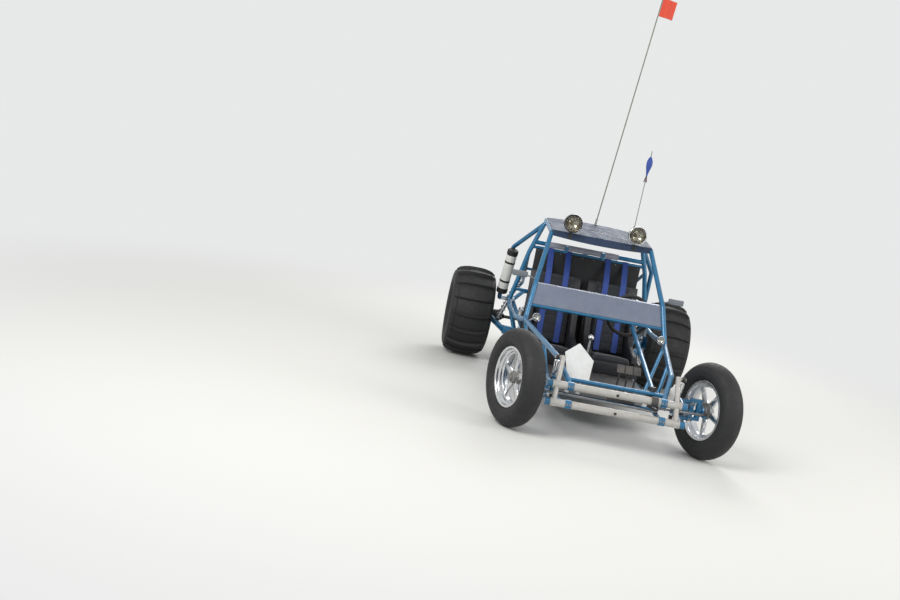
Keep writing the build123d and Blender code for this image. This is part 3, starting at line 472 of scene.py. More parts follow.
frontTyre = {
    "half": [(0.1963, 0.0426), (0.2095, 0.0428), (0.213, 0.051), (0.225, 0.0645), (0.238, 0.0725),
        (0.241, 0.0748), (0.2455, 0.0742), (0.257, 0.0772), (0.272, 0.0779), (0.286, 0.0762),
        (0.299, 0.0705), (0.3025, 0.0686), (0.304, 0.0692), (0.312, 0.0622), (0.3195, 0.053),
        (0.3262, 0.041), (0.3312, 0.027), (0.3345, 0.0135), (0.336, 0.0)],
    "steps": 96,
}
rearTyre = {
    "half": [(0.1963, 0.1406), (0.2095, 0.1408), (0.2135, 0.150), (0.226, 0.1665), (0.242, 0.1775),
        (0.246, 0.1802), (0.251, 0.1796), (0.266, 0.1842), (0.284, 0.1858), (0.302, 0.1842),
        (0.318, 0.1785), (0.3225, 0.1782), (0.331, 0.1705), (0.3385, 0.155), (0.3425, 0.137),
        (0.3412, 0.1345), (0.3455, 0.1315), (0.3535, 0.090), (0.360, 0.045), (0.364, 0.0)],
    "steps": 112,
    "paddles": 16,
    "paddleWidth": 0.338,
    "paddleRise": 0.0255,
    "paddleThick": 0.013,
    "tread": 0.364,
    "reach": 0.3879,      # no paddle stands further out than this
}


def tyreRing(bm, half, place, steps):
    outline = half + [(r, -z) for r, z in reversed(half[:-1])]
    lathe(bm, outline, place, steps, ring=True)


def spreadRound(bm, count):
    # repeats all that the mesh holds at even angles about the local Z
    source = bm.verts[:] + bm.edges[:] + bm.faces[:]
    for index in range(1, count):
        copied = bmesh.ops.duplicate(bm, geom=source)["geom"]
        copies = [g for g in copied if isinstance(g, bmesh.types.BMVert)]
        bmesh.ops.rotate(bm, verts=copies, cent=(0, 0, 0), matrix=Matrix.Rotation(2 * pi * index / count,
            3, "Z"))


def paddles(bm, spec, place):
    # each paddle is a bar laid across the tread, cupped towards the way it digs
    block(bm, (0.05, spec["paddleThick"], spec["paddleWidth"]), Matrix.Translation((0.360, 0, 0)))
    length = [e for e in bm.edges if abs(e.verts[0].co.z - e.verts[1].co.z) > 0.1]
    bmesh.ops.subdivide_edges(bm, edges=length, cuts=11)
    for v in bm.verts:
        across = v.co.z / (spec["paddleWidth"] / 2)
        top = v.co.x > 0.37
        surface = spec["tread"] - 0.026 * across ** 2 - 0.010 * across ** 6
        v.co.x = min(surface + (spec["paddleRise"] * (1 - 0.35 * across ** 6) if top else -0.02),
            spec["reach"])
        v.co.y = v.co.y * (0.7 if top else 1.5) + 0.014 * across ** 2 * (1 if top else 0.8)
    bevelled(bm, bm.verts[:], 0.002, 1, 40)
    spreadRound(bm, spec["paddles"])
    bmesh.ops.transform(bm, matrix=place, verts=bm.verts)


for name, side in sides:
    bm = bmesh.new()
    tyreRing(bm, frontTyre["half"], wheelPlace(side, True), frontTyre["steps"])
    finishPiece(bm, "frontTyre" + name, "tyreRubber", "wheel_front_" + name,
        ["front_tyre_" + name], 40)
    bm = bmesh.new()
    paddles(bm, rearTyre, wheelPlace(side, False))
    tyreRing(bm, rearTyre["half"], wheelPlace(side, False), rearTyre["steps"])
    finishPiece(bm, "rearTyre" + name, "tyreRubber", "wheel_rear_" + name, ["rear_tyre_" + name],
        40)
print("tyres done")

frontRim = {
    "barrel": [(0.208, -0.052), (0.208, -0.0475), (0.1955, -0.0432), (0.1948, -0.031), (0.172, -0.018),
        (0.172, 0.010), (0.1948, 0.029), (0.1955, 0.0432), (0.208, 0.0475), (0.208, 0.052),
        (0.2065, 0.0528), (0.193, 0.0515), (0.1905, 0.048), (0.190, 0.034), (0.1875, 0.031),
        (0.178, 0.0285), (0.1755, 0.026), (0.1745, 0.014), (0.166, 0.0105), (0.164, 0.008),
        (0.1635, -0.006), (0.166, -0.0095), (0.1665, -0.020), (0.187, -0.034), (0.190, -0.0475),
        (0.1935, -0.0515), (0.2065, -0.0528)],
    "hub": [(0, 0.0455), (0.020, 0.0455), (0.0235, 0.043), (0.0245, 0.032), (0.033, 0.030),
        (0.0385, 0.026), (0.040, 0.012), (0.056, 0.007), (0.058, 0.003), (0.058, -0.016), (0.040, -0.018),
        (0.038, -0.034), (0.030, -0.038), (0, -0.038)],
    "spokes": 5,
    "spokeRoot": 0.050,
    "spokeTip": 0.028,
    "spokeDepth": 0.020,
}
rearRim = {
    "barrel": [(0.208, -0.150), (0.208, -0.1455), (0.1955, -0.1412), (0.1948, -0.118), (0.170, -0.104),
        (0.170, 0.092), (0.1948, 0.118), (0.1955, 0.1412), (0.208, 0.1455), (0.208, 0.150),
        (0.2065, 0.1508), (0.193, 0.1495), (0.1905, 0.146), (0.190, 0.128), (0.1875, 0.125),
        (0.180, 0.1225), (0.1775, 0.120), (0.177, 0.104), (0.165, 0.096), (0.1635, 0.092),
        (0.1635, 0.052), (0.165, -0.100), (0.187, -0.118), (0.190, -0.1455), (0.1935, -0.1495),
        (0.2065, -0.1508)],
    "hub": [(0, 0.0745), (0.026, 0.0745), (0.030, 0.071), (0.031, 0.0665), (0.078, 0.0665),
        (0.082, 0.063), (0.082, 0.046), (0.078, 0.043), (0, 0.043)],
    "spokes": 5,
    "spokeRoot": 0.058,
    "spokeTip": 0.034,
    "spokeDepth": 0.022,
}


def spokeStar(bm, spec, inner, outer, height):
    # tapered arms with a raised ridge, spread round the hub
    length, root, depth = outer - inner, spec["spokeRoot"], spec["spokeDepth"]
    block(bm, (length, root, depth), Matrix.Translation(((inner + outer) / 2, 0, height)))
    cut = bmesh.ops.bisect_plane(bm, geom=bm.verts[:] + bm.edges[:] + bm.faces[:], plane_co=(0, 0, 0),
        plane_no=(0, 1, 0))
    ridge = {g for g in cut["geom_cut"] if isinstance(g, bmesh.types.BMVert)}
    for v in bm.verts:
        share = (v.co.x - inner) / length
        v.co.y *= 1 + (spec["spokeTip"] / root - 1) * share
        if v in ridge and v.co.z > height:
            v.co.z += 0.007 * (1 - 0.4 * share)
        if v.co.z < height:
            v.co.y *= 0.82
    bevelled(bm, bm.verts[:], 0.0025, 2, 25)
    spreadRound(bm, spec["spokes"])


for name, side in sides:
    place = wheelPlace(side, True)
    bm = bmesh.new()
    spokeStar(bm, frontRim, 0.036, 0.168, 0.0)
    bmesh.ops.transform(bm, matrix=place, verts=bm.verts)
    lathe(bm, frontRim["barrel"], place, 96, ring=True)
    finishPiece(bm, "frontRim" + name, "polishedAlloy", "wheel_front_" + name,
        ["front_rim_" + name])
    bm = bmesh.new()
    lathe(bm, frontRim["hub"], place, 48)
    finishPiece(bm, "frontHub" + name, "castAlloy", "wheel_front_" + name,
        ["front_hub_" + name])
    place = wheelPlace(side, False)
    bm = bmesh.new()
    spokeStar(bm, rearRim, 0.070, 0.168, 0.056)
    bmesh.ops.transform(bm, matrix=place, verts=bm.verts)
    lathe(bm, rearRim["barrel"], place, 96, ring=True)
    lathe(bm, rearRim["hub"], place, 48)
    for angle in evenAngles(5, 0.3):
        at = place @ Vector((0.056 * cos(angle), 0.056 * sin(angle), 0.0665))
        bolt(bm, at, place.to_3x3() @ Vector((0, 0, 1)), 0.019)
    finishPiece(bm, "rearRim" + name, "polishedAlloy", "wheel_rear_" + name,
        ["rear_rim_" + name])
print("rims done")

lampLook = {"radius": 0.075, "x": 0.263, "station": 1.469, "height": 1.354, "foot": (1.5175, 1.242),
    "plateStation": 1.5184}
markerLook = {"radius": 0.032, "x": 0.481, "station": 0.905, "height": 0.640,
    "foot": (0.532, 0.968, 0.587)}


def glassMaterial(name, look):
    # pressed lens glass, its faint flutes drawn about twice as wide as real ones
    material, tree, shader, place = startMaterial(name, look)
    shader.inputs["Transmission Weight"].default_value = 1
    ribs = addNode(tree, "ShaderNodeTexWave", {"Vector": place, "Scale": bandsEvery(look["flute"])},
        bands_direction="X").outputs["Fac"]
    surfaced(tree, shader, look, ribs, look["depth"])
    return material


materials["lensGlass"] = glassMaterial("lensGlass", {"colour": "#f3f6f6", "roughness": 0.03, "ior": 1.5,
    "flute": 17.7563, "depth": 0.00012})
materials["markerLens"] = glassMaterial("markerLens", {"colour": "#f4f3ee", "roughness": 0.08,
    "ior": 1.49, "flute": 9.8646, "depth": 0.00012})


def lampShell(bm, spec, place):
    r = spec["radius"]
    lathe(bm, [(r * 0.86, 0.008), (r * 0.93, 0.0115), (r * 0.985, 0.0085), (r, 0.002), (r, -r * 0.2),
        (r * 0.96, -r * 0.36), (r * 0.78, -r * 0.66), (r * 0.52, -r * 0.86), (r * 0.3, -r * 0.97),
        (0, -r * 0.99), (0, -r * 0.92), (r * 0.5, -r * 0.8), (r * 0.74, -r * 0.6), (r * 0.9, -r * 0.3),
        (r * 0.9, 0.0), (r * 0.86, 0.004)], place, 48)


def lampInside(bm, spec, place):
    # bowl reflector with its bulb and shade
    r = spec["radius"]
    lathe(bm, [(r * 0.89, 0.001), (r * 0.80, -r * 0.16), (r * 0.62, -r * 0.36), (r * 0.38, -r * 0.50),
        (r * 0.14, -r * 0.56), (0, -r * 0.565), (0, -r * 0.60), (r * 0.40, -r * 0.54),
        (r * 0.66, -r * 0.40), (r * 0.84, -r * 0.2), (r * 0.895, -0.001)], place, 48)
    lathe(bm, [(0, -r * 0.10), (r * 0.06, -r * 0.11), (r * 0.10, -r * 0.18), (r * 0.10, -r * 0.30),
        (r * 0.05, -r * 0.36), (r * 0.05, -r * 0.56), (0, -r * 0.56)], place, 20)


def lampLens(bm, spec, place):
    r = spec["radius"]
    lathe(bm, [(0, 0.0075), (r * 0.3, 0.0071), (r * 0.6, 0.0058), (r * 0.87, 0.0030), (r * 0.87, 0.0004),
        (r * 0.6, 0.0032), (r * 0.3, 0.0045), (0, 0.0049)], place, 48)


def lampBezel(bm, spec, place):
    # a plated ring clipped over the shell's lip
    r = spec["radius"]
    lathe(bm, [(r * 0.87, 0.0068), (r * 0.93, 0.0100), (r * 0.985, 0.0070), (r * 0.985, 0.0092),
        (r * 0.93, 0.0122), (r * 0.87, 0.0084)], place, 48, ring=True)


for kind, spec, lens in (
        ("drivingLamp", lampLook, "lensGlass"),
        ("markerLamp", markerLook, "markerLens")):
    driving = kind == "drivingLamp"
    shells, insides, lenses = bmesh.new(), bmesh.new(), bmesh.new()
    for name, side in sides:
        place = forwards(spot(side * spec["x"], spec["station"], spec["height"]))
        lampShell(shells, spec, place)
        lampInside(insides, spec, place)
        lampLens(lenses, spec, place)
        if driving:
            bar(shells, spot(side * spec["x"], spec["station"] + 0.024, spec["height"] - 0.04),
                spot(side * spec["x"], *spec["foot"]), 0.008)
            block(shells, (0.030, 0.004, 0.034), Matrix.Translation(spot(side * spec["x"],
                spec["plateStation"], spec["foot"][1])), 0.001)
        else:
            bar(shells, spot(side * spec["x"], spec["station"] + 0.018, spec["height"]),
                sideSpot(side, spec["foot"]), 0.006)
    finishPiece(shells, kind + "Shells", "engineEnamel" if driving else "chromePlate", "chassis",
        ["driving_lamps" if driving else "marker_lamps"])
    finishPiece(insides, kind + "Reflectors", "smokedReflector" if driving else "chromePlate", "chassis")
    finishPiece(lenses, kind + "Lenses", lens, "chassis")
bezel = bmesh.new()      # only the driver's lamp still has its bright ring
lampBezel(bezel, lampLook, forwards(spot(lampLook["x"], lampLook["station"], lampLook["height"])))
finishPiece(bezel, "drivingLampBezel", "chromePlate", "chassis")
print("lamps done")

# Seats: moulded shells with padded cloth centres and vinyl bolsters.
seatLook = {
    "x": 0.245,
    "half": 0.2135,
    "centre": 0.158,          # half width of the cloth centres
    "shell": [(1.336, 0.229), (1.336, 0.318), (1.350, 0.330), (1.700, 0.290), (1.745, 0.322),
        (1.900, 0.868), (1.914, 0.898), (1.932, 0.892), (1.817, 0.388), (1.797, 0.229)],
    "cushion": [(1.346, 0.334), (1.352, 0.354), (1.392, 0.362), (1.694, 0.326), (1.728, 0.322),
        (1.726, 0.300), (1.700, 0.294), (1.360, 0.332)],
    "squab": [(1.712, 0.345), (1.866, 0.888), (1.880, 0.905), (1.902, 0.900), (1.902, 0.872),
        (1.748, 0.330), (1.726, 0.330)],
    "bolster": [(1.378, 0.330), (1.382, 0.388), (1.420, 0.402), (1.590, 0.444), (1.632, 0.476),
        (1.770, 0.768), (1.800, 0.786), (1.862, 0.788), (1.748, 0.340), (1.700, 0.300), (1.400, 0.322)],
    "voxel": 0.006,
    "pressure": 4.0,
    "swell": 0.011,          # furthest that the stuffing may push the cloth out
    "bolsterSwell": 0.006,
    "channels": 0.075,       # from one sewn channel to the next
    "channelDepth": 0.005,
}


def profileBlock(bm, outline, low, high, edge=0.0, segments=2):
    # a side profile, given as stations and heights, carried from one width to another
    verts = [bm.verts.new(spot(low, station, z)) for station, z in outline]
    face = bm.faces.new(verts)
    made = bmesh.ops.extrude_face_region(bm, geom=[face])["geom"]
    moved = [g for g in made if isinstance(g, bmesh.types.BMVert)]
    bmesh.ops.translate(bm, verts=moved, vec=(high - low, 0, 0))
    bmesh.ops.recalc_face_normals(bm, faces=list({f for v in verts + moved for f in v.link_faces}))
    if edge:
        bevelled(bm, verts + moved, edge, segments)


def swollen(name, outline, low, high, finish, swell):
    # stuffed by cloth pressure, with no point moving further than the swell allows
    bm = bmesh.new()
    profileBlock(bm, outline, low, high, 0.012, 3)
    piece = finishPiece(bm, name, finish, "chassis")
    remesh = piece.modifiers.new("remesh", "REMESH")
    remesh.mode = "VOXEL"
    remesh.voxel_size = seatLook["voxel"]
    bpy.context.view_layer.update()
    evaluated = piece.evaluated_get(bpy.context.evaluated_depsgraph_get())
    packed = bpy.data.meshes.new_from_object(evaluated)
    piece.modifiers.clear()
    piece.data = packed
    rest = [v.co.copy() for v in packed.vertices]
    cloth = piece.modifiers.new("cloth", "CLOTH")
    cloth.settings.use_pressure = True
    cloth.settings.uniform_pressure_force = seatLook["pressure"]
    cloth.settings.effector_weights.gravity = 0
    for frameNumber in range(1, 21):
        bpy.context.scene.frame_set(frameNumber)
    puffed = piece.evaluated_get(bpy.context.evaluated_depsgraph_get())
    settled = bpy.data.meshes.new_from_object(puffed)
    piece.modifiers.clear()
    for vertex, home in zip(settled.vertices, rest):
        way = vertex.co - home
        if way.length > swell:
            vertex.co = home + way * (swell / way.length)
    piece.data = settled
    bpy.context.scene.frame_set(1)
    return piece


def sewn(piece, start, end, spacing, deep):
    # straight channels pressed in across the line from start to end
    way = (end - start).normalized()
    for vertex in piece.data.vertices:
        along = (vertex.co - start).dot(way)
        off = (along / spacing - round(along / spacing)) * spacing
        vertex.co -= vertex.normal * deep * 2.718 ** (-(off / 0.0065) ** 2)


def smoothed(piece, levels):
    smoother = piece.modifiers.new("smooth", "SUBSURF")
    smoother.levels = smoother.render_levels = levels


def finished(piece, finish, levels):
    piece.data.materials.clear()
    piece.data.materials.append(materials[finish])
    piece.data.shade_smooth()
    smoothed(piece, levels)


print("seats start")
seatHalf, centre = seatLook["half"], seatLook["centre"]
for name, outline, low, high, finish in (
        ("Cushion", seatLook["cushion"], -centre, centre, "seatCloth"),
        ("Squab", seatLook["squab"], -centre, centre, "seatCloth"),
        ("BolsterInner", seatLook["bolster"], -seatHalf + 0.004, -centre - 0.004, "seatVinyl"),
        ("BolsterOuter", seatLook["bolster"], centre + 0.004, seatHalf - 0.004, "seatVinyl")):
    x = seatLook["x"]
    piece = swollen("seatLeft" + name, outline, x + low, x + high, finish,
        seatLook["swell"] if finish == "seatCloth" else seatLook["bolsterSwell"])
    if name == "Cushion":
        sewn(piece, spot(x, 1.36, 0.36), spot(x, 1.70, 0.33), seatLook["channels"],
            seatLook["channelDepth"])
    if name == "Squab":
        sewn(piece, spot(x, 1.712, 0.345), spot(x, 1.866, 0.888), seatLook["channels"],
            seatLook["channelDepth"])
    finished(piece, finish, 1)
    twin = bpy.data.objects.new("seatRight" + name, piece.data.copy())
    twin.data.transform(Matrix.Translation((-2 * x, 0, 0)))
    bpy.context.scene.collection.objects.link(twin)
    smoothed(twin, 1)
    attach(twin, "chassis")
bm = bmesh.new()
for side in (-1, 1):
    x = side * seatLook["x"]
    profileBlock(bm, seatLook["shell"], x - seatHalf, x + seatHalf, 0.006)
    for level in (0.38, 0.50, 0.62, 0.74):        # moulded ribs on the shell's back
        station = 1.817 + (level - 0.388) / (0.892 - 0.388) * 0.115
        block(bm, (0.34, 0.012, 0.012), Matrix.Translation(spot(x, station - 0.004, level)), 0.004)
finishPiece(bm, "seatShells", "seatVinyl", "chassis", ["seats"])
print("seats done")

# Shoulder harness: flat webbing over each squab, looped round the lower crossbar.
harnessLook = {
    "offsets": (-0.075, 0.075),
    "width": 0.048,
    "thick": 0.0026,
    "run": [(1.7035, 0.352), (1.7325, 0.450), (1.7610, 0.548), (1.8190, 0.745), (1.8610, 0.893),
        (1.8700, 0.915), (1.8840, 0.941), (1.9560, 1.0785)],
    "barStation": 1.975,
    "barHeight": 1.078,
    "adjuster": (1.7800, 0.615),
    "modelledGap": 0.0083,      # how far the run stands off the squab before it is stuffed
    "clearance": 0.0022,
}
squabLow, squabHigh = seatLook["squab"][:2]
squabLean = atan2(squabHigh[0] - squabLow[0], squabHigh[1] - squabLow[1])
strapLift = seatLook["swell"] - harnessLook["modelledGap"] + harnessLook["thick"] + harnessLook["clearance"]


def offSquab(station, z):
    # lifts a strap point clear of the stuffed squab, along its face's outward normal
    return station - cos(squabLean) * strapLift, z + sin(squabLean) * strapLift


webbing, buckles = bmesh.new(), bmesh.new()
for side in (-1, 1):
    for offset in harnessLook["offsets"]:
        x = side * seatLook["x"] + offset
        run = [offSquab(*point) for point in harnessLook["run"][:-1]] + harnessLook["run"][-1:]
        verts = [webbing.verts.new(spot(x - harnessLook["width"] / 2, station, z)) for station, z in run]
        edges = [webbing.edges.new(pair) for pair in zip(verts, verts[1:])]
        made = bmesh.ops.extrude_edge_only(webbing, edges=edges)["geom"]
        moved = [g for g in made if isinstance(g, bmesh.types.BMVert)]
        bmesh.ops.translate(webbing, verts=moved, vec=(harnessLook["width"], 0, 0))
        faces = [g for g in made if isinstance(g, bmesh.types.BMFace)]
        bmesh.ops.recalc_face_normals(webbing, faces=faces)
        if faces[0].normal.y > 0:
            bmesh.ops.reverse_faces(webbing, faces=faces)
        bmesh.ops.solidify(webbing, geom=faces, thickness=harnessLook["thick"])
        loop = acrossCar(spot(x, harnessLook["barStation"], harnessLook["barHeight"]))
        wide = harnessLook["width"] / 2
        lathe(webbing, [(0.0143, -wide), (0.0162, -wide), (0.0162, wide), (0.0143, wide)], loop, 32,
            ring=True)
        station, z = offSquab(*harnessLook["adjuster"])
        lean = Matrix.Translation(spot(x, station - 0.006, z)) @ Matrix.Rotation(radians(-16.3), 4, "X")
        for rise in (-0.014, 0.0, 0.014):
            block(buckles, (0.056, 0.004, 0.005), lean @ Matrix.Translation((0, 0, rise)), 0.0012)
        for edgeX in (-0.027, 0.027):
            block(buckles, (0.005, 0.004, 0.034), lean @ Matrix.Translation((edgeX, 0, 0)), 0.0012)
finishPiece(webbing, "harnessWebbing", "harnessWebbing", "chassis", ["harnesses"])
finishPiece(buckles, "harnessAdjusters", "zincSteel", "chassis")
print("harness done")

# Steering wheel: rubber-gripped rim on three slotted alloy spokes.
wheelLook = {"foot": (0.255, -0.047, 0.425), "centre": (0.298, 1.330, 0.727), "radius": 0.165,
    "grip": 0.0145, "spokes": (0, 180, 270)}
wheelCentre, columnFoot = spot(*wheelLook["centre"]), spot(*wheelLook["foot"])
wheelAxis = (wheelCentre - columnFoot).normalized()
acrossWheel = (Vector((1, 0, 0)) - wheelAxis * wheelAxis.x).normalized()
upWheel = wheelAxis.cross(acrossWheel)
wheelAxes = Matrix((acrossWheel, upWheel, wheelAxis)).transposed().to_4x4()
wheelFrame = Matrix.Translation(wheelCentre) @ wheelAxes
grips, spokes = bmesh.new(), bmesh.new()
section = bmesh.ops.create_circle(grips, segments=20, radius=wheelLook["grip"], cap_ends=False,
    matrix=Matrix.Translation((wheelLook["radius"], 0, 0)) @ Matrix.Rotation(pi / 2, 4, "X"))["verts"]
bmesh.ops.spin(grips, geom=section + list({e for v in section for e in v.link_edges}), cent=(0, 0, 0),
    axis=(0, 0, 1), angle=2 * pi, steps=120, use_merge=True)
bmesh.ops.remove_doubles(grips, verts=grips.verts, dist=1e-6)
for v in grips.verts:      # finger swells on the back of the grip
    around = atan2(v.co.y, v.co.x)
    if v.co.z < -0.004:
        v.co.z -= 0.0012 * (1 + cos(around * 48)) * min(1, -v.co.z / 0.012) * 0.6 - 0.0006
bmesh.ops.recalc_face_normals(grips, faces=grips.faces)
for angle in wheelLook["spokes"]:
    turn = Matrix.Rotation(radians(angle), 4, "Z")
    for edgeY in (-0.0095, 0.0095):
        block(spokes, (0.122, 0.005, 0.005), turn @ Matrix.Translation((0.093, edgeY, -0.008)), 0.001)
    for along in (0.045, 0.075, 0.105, 0.135):
        block(spokes, (0.011, 0.024, 0.0045), turn @ Matrix.Translation((along, 0, -0.008)), 0.001)
lathe(spokes, [(0, -0.0305), (0.030, -0.0305), (0.0335, -0.027), (0.0335, -0.012), (0.031, -0.0095),
    (0.0375, -0.0085), (0.0375, -0.0045), (0.031, -0.0035), (0.030, 0.000), (0.020, 0.003), (0, 0.0035)],
    steps=40)
for bm in (grips, spokes):
    bmesh.ops.transform(bm, matrix=wheelFrame, verts=bm.verts)
for angle in evenAngles(6):
    bolt(spokes, wheelFrame @ Vector((0.0255 * cos(angle), 0.0255 * sin(angle), 0.000)), wheelAxis, 0.006)
finishPiece(grips, "wheelGrip", "softRubber", "steering_wheel", ["steering_wheel"])
finishPiece(spokes, "wheelSpokes", "castAlloy", "steering_wheel")
print("steering wheel done")

# Dampers: slim front ones on the towers, coil-over ones at the rear.
frontDamper = {"head": (0.434, -0.1013, 0.5402), "foot": (0.418, -0.040, 0.2624), "body": 0.0185,
    "shroud": 0.0165, "rod": 0.007}
rearDamper = {"foot": (0.638, 2.2056, 0.3567), "head": (0.458, 2.326, 0.832), "spring": 0.0245,
    "wire": 0.0045, "turns": 9.5}


def between(start, end, share):
    return start.lerp(end, share)


chromed, sleeves, bushes = bmesh.new(), bmesh.new(), bmesh.new()
for name, side in sides:
    head = sideSpot(side, frontDamper["head"])
    foot = sideSpot(side, frontDamper["foot"])
    bar(chromed, between(head, foot, 0.04), between(head, foot, 0.96), frontDamper["rod"], sides=16)
    bar(chromed, between(head, foot, 0.09), between(head, foot, 0.47), frontDamper["shroud"], sides=32,
        edge=0.003)
    bar(sleeves, between(head, foot, 0.44), between(head, foot, 0.90), frontDamper["body"], sides=32,
        edge=0.003)
    for share in (0.47, 0.88):
        bar(chromed, between(head, foot, share - 0.008), between(head, foot, share + 0.008),
            frontDamper["body"] + 0.001, sides=32, edge=0.001)
    for end, radius in ((head, 0.0168), (foot, 0.0148)):
        lathe(bushes, [(radius - 0.005, -0.0115), (radius, -0.0105), (radius, 0.0105),
            (radius - 0.005, 0.0115)], acrossCar(end), 28, ring=True)
        bar(chromed, end - Vector((0.014, 0, 0)), end + Vector((0.014, 0, 0)), 0.0065, sides=16,
            edge=0.001)
    bar(chromed, foot + Vector((side * -0.002, 0, 0)), foot + Vector((side * 0.038, 0, 0)), 0.0085,
        sides=16, edge=0.001)
finishPiece(chromed, "frontDamperRods", "chromePlate", "chassis", ["front_shocks"])
finishPiece(sleeves, "frontDamperBodies", "blueEnamel", "chassis")
finishPiece(bushes, "frontDamperBushes", "softRubber", "chassis")

springs, cores, eyes = bmesh.new(), bmesh.new(), bmesh.new()
for name, side in sides:
    foot = sideSpot(side, rearDamper["foot"])
    head = sideSpot(side, rearDamper["head"])
    coilSpring(springs, between(foot, head, 0.13), between(foot, head, 0.79), rearDamper["spring"],
        rearDamper["wire"], rearDamper["turns"])
    bar(cores, between(foot, head, 0.06), between(foot, head, 0.50), 0.0165, sides=28, edge=0.002)
    bar(cores, between(foot, head, 0.48), between(foot, head, 0.96), 0.0075, sides=20)
    for share in (0.125, 0.785):
        bar(cores, between(foot, head, share - 0.006), between(foot, head, share + 0.006), 0.029,
            sides=36, edge=0.001)
    for end in (between(foot, head, 0.05), between(foot, head, 0.95)):
        lathe(eyes, [(0.008, -0.014), (0.0145, -0.013), (0.0145, 0.013), (0.008, 0.014)], acrossCar(end),
            24, ring=True)
        bar(cores, end - Vector((0.018, 0, 0)), end + Vector((0.018, 0, 0)), 0.0072, sides=16, edge=0.001)
finishPiece(springs, "rearSprings", "springSteel", "chassis", ["rear_shocks"])
finishPiece(cores, "rearDampers", "zincSteel", "chassis")
finishPiece(eyes, "rearDamperEyes", "softRubber", "chassis")
print("dampers done")

# Beam details: tube plugs, end bands, clamp bolts and the bolts of the arms and carriers.
beamLook = {"upper": (-0.1597, 0.3692), "lower": (-0.1963, 0.2528), "clampX": 0.319, "bandX": 0.436,
    "armX": 0.459, "pinX": 0.555, "pinFace": -0.0225}
fasteners, plates, plugs = bmesh.new(), bmesh.new(), bmesh.new()
forward = Vector((0, -1, 0))
for station, z in (beamLook["upper"], beamLook["lower"]):
    bar(plugs, spot(0, station - 0.0245, z), spot(0, station - 0.0272, z), 0.0105, sides=24, edge=0.0008)
    for name, side in sides:
        for offset in (-0.011, 0.011):
            bolt(fasteners, spot(side * beamLook["clampX"] + offset, station - 0.029, z + 0.004), forward,
                0.010)
        bar(fasteners, spot(side * (beamLook["armX"] - 0.010), station, z + 0.0245),
            spot(side * (beamLook["armX"] - 0.010), station, z + 0.029), 0.006, sides=6, edge=0.0008)
        lathe(plates, [(0.0262, -0.006), (0.0290, -0.006), (0.0290, 0.006), (0.0262, 0.006)],
            acrossCar(spot(side * beamLook["bandX"], station, z)), 36, ring=True)
    for name, side in sides:
        bolt(fasteners, spot(side * beamLook["pinX"], beamLook["pinFace"], z + 0.012), forward, 0.012)
for name, side in sides:
    for end in (-0.062, 0.062):
        for offset in (-0.014, 0.014):
            bolt(fasteners, spot(side * (beamLook["pinX"] + offset), beamLook["pinFace"],
                layout["frontAxleHeight"] + end * 0.55), forward, 0.009)
finishPiece(fasteners, "beamFasteners", "zincSteel", "chassis")
finishPiece(plates, "beamEndBands", "silverPaint", "chassis")
finishPiece(plugs, "beamPlugs", "engineEnamel", "chassis")

# Tie-rod joints: jam nuts and grease boots at both ends of each rod.
tieLook = {"inner": (0.28578, -0.13957), "left": (0.63778, -0.08457), "right": (-0.57622, -0.08457),
    "level": 0.311, "offset": 0.0138}
for name, side in sides:
    joints, boots = bmesh.new(), bmesh.new()
    level = tieLook["level"] + side * tieLook["offset"]
    inner = spot(*tieLook["inner"], level)
    outer = spot(*tieLook[name], level)
    run = (outer - inner).length
    for start, end in ((inner, outer), (outer, inner)):
        bar(joints, between(start, end, 0.055 / run), between(start, end, 0.067 / run), 0.0105, sides=6,
            edge=0.0008)
        bar(joints, between(start, end, 0.020 / run), between(start, end, 0.052 / run), 0.0088, sides=16,
            edge=0.001)
        rest = Matrix.Translation(start + Vector((0, 0, side * 0.0025)))
        lathe(boots, [(0.0135, 0.0), (0.0145, 0.003), (0.0125, 0.005), (0.0130, 0.007), (0.0095, 0.010),
            (0.0, 0.0105), (0, 0.0)], rest @ Matrix.Rotation(0 if side > 0 else pi, 4, "X"), 24)
    finishPiece(joints, "tieRodNuts" + name, "zincSteel", "tie_rod_" + name)
    finishPiece(boots, "tieRodBoots" + name, "softRubber", "tie_rod_" + name)
print("steering details done")

# Drive shafts: folded boots over both joints.
bootLook = {"outer": (-0.262, -0.318), "inner": (-0.700, -0.652), "large": 0.0535, "small": 0.0165,
    "folds": (5, 4)}


def foldedBoot(bm, place, low, high, large, small, folds):
    # a ribbed cone from its large end to its small end
    outline = [(0, low), (large, low)]
    for index in range(folds):
        share, crest = (index + 0.35) / folds, (index + 0.8) / folds
        radius = large + (small - large) * share
        outline.append((radius - 0.0065, low + (high - low) * share))
        outline.append((radius + 0.0015, low + (high - low) * crest))
    outline += [(small, high), (0, high)]
    lathe(bm, outline, place, 40)


for name, side in sides:
    bm = bmesh.new()
    place = wheelPlace(side, False)
    for end, folds in zip(("outer", "inner"), bootLook["folds"]):
        foldedBoot(bm, place, *bootLook[end], bootLook["large"], bootLook["small"], folds)
    finishPiece(bm, "driveBoots" + name, "softRubber", "wheel_rear_" + name)

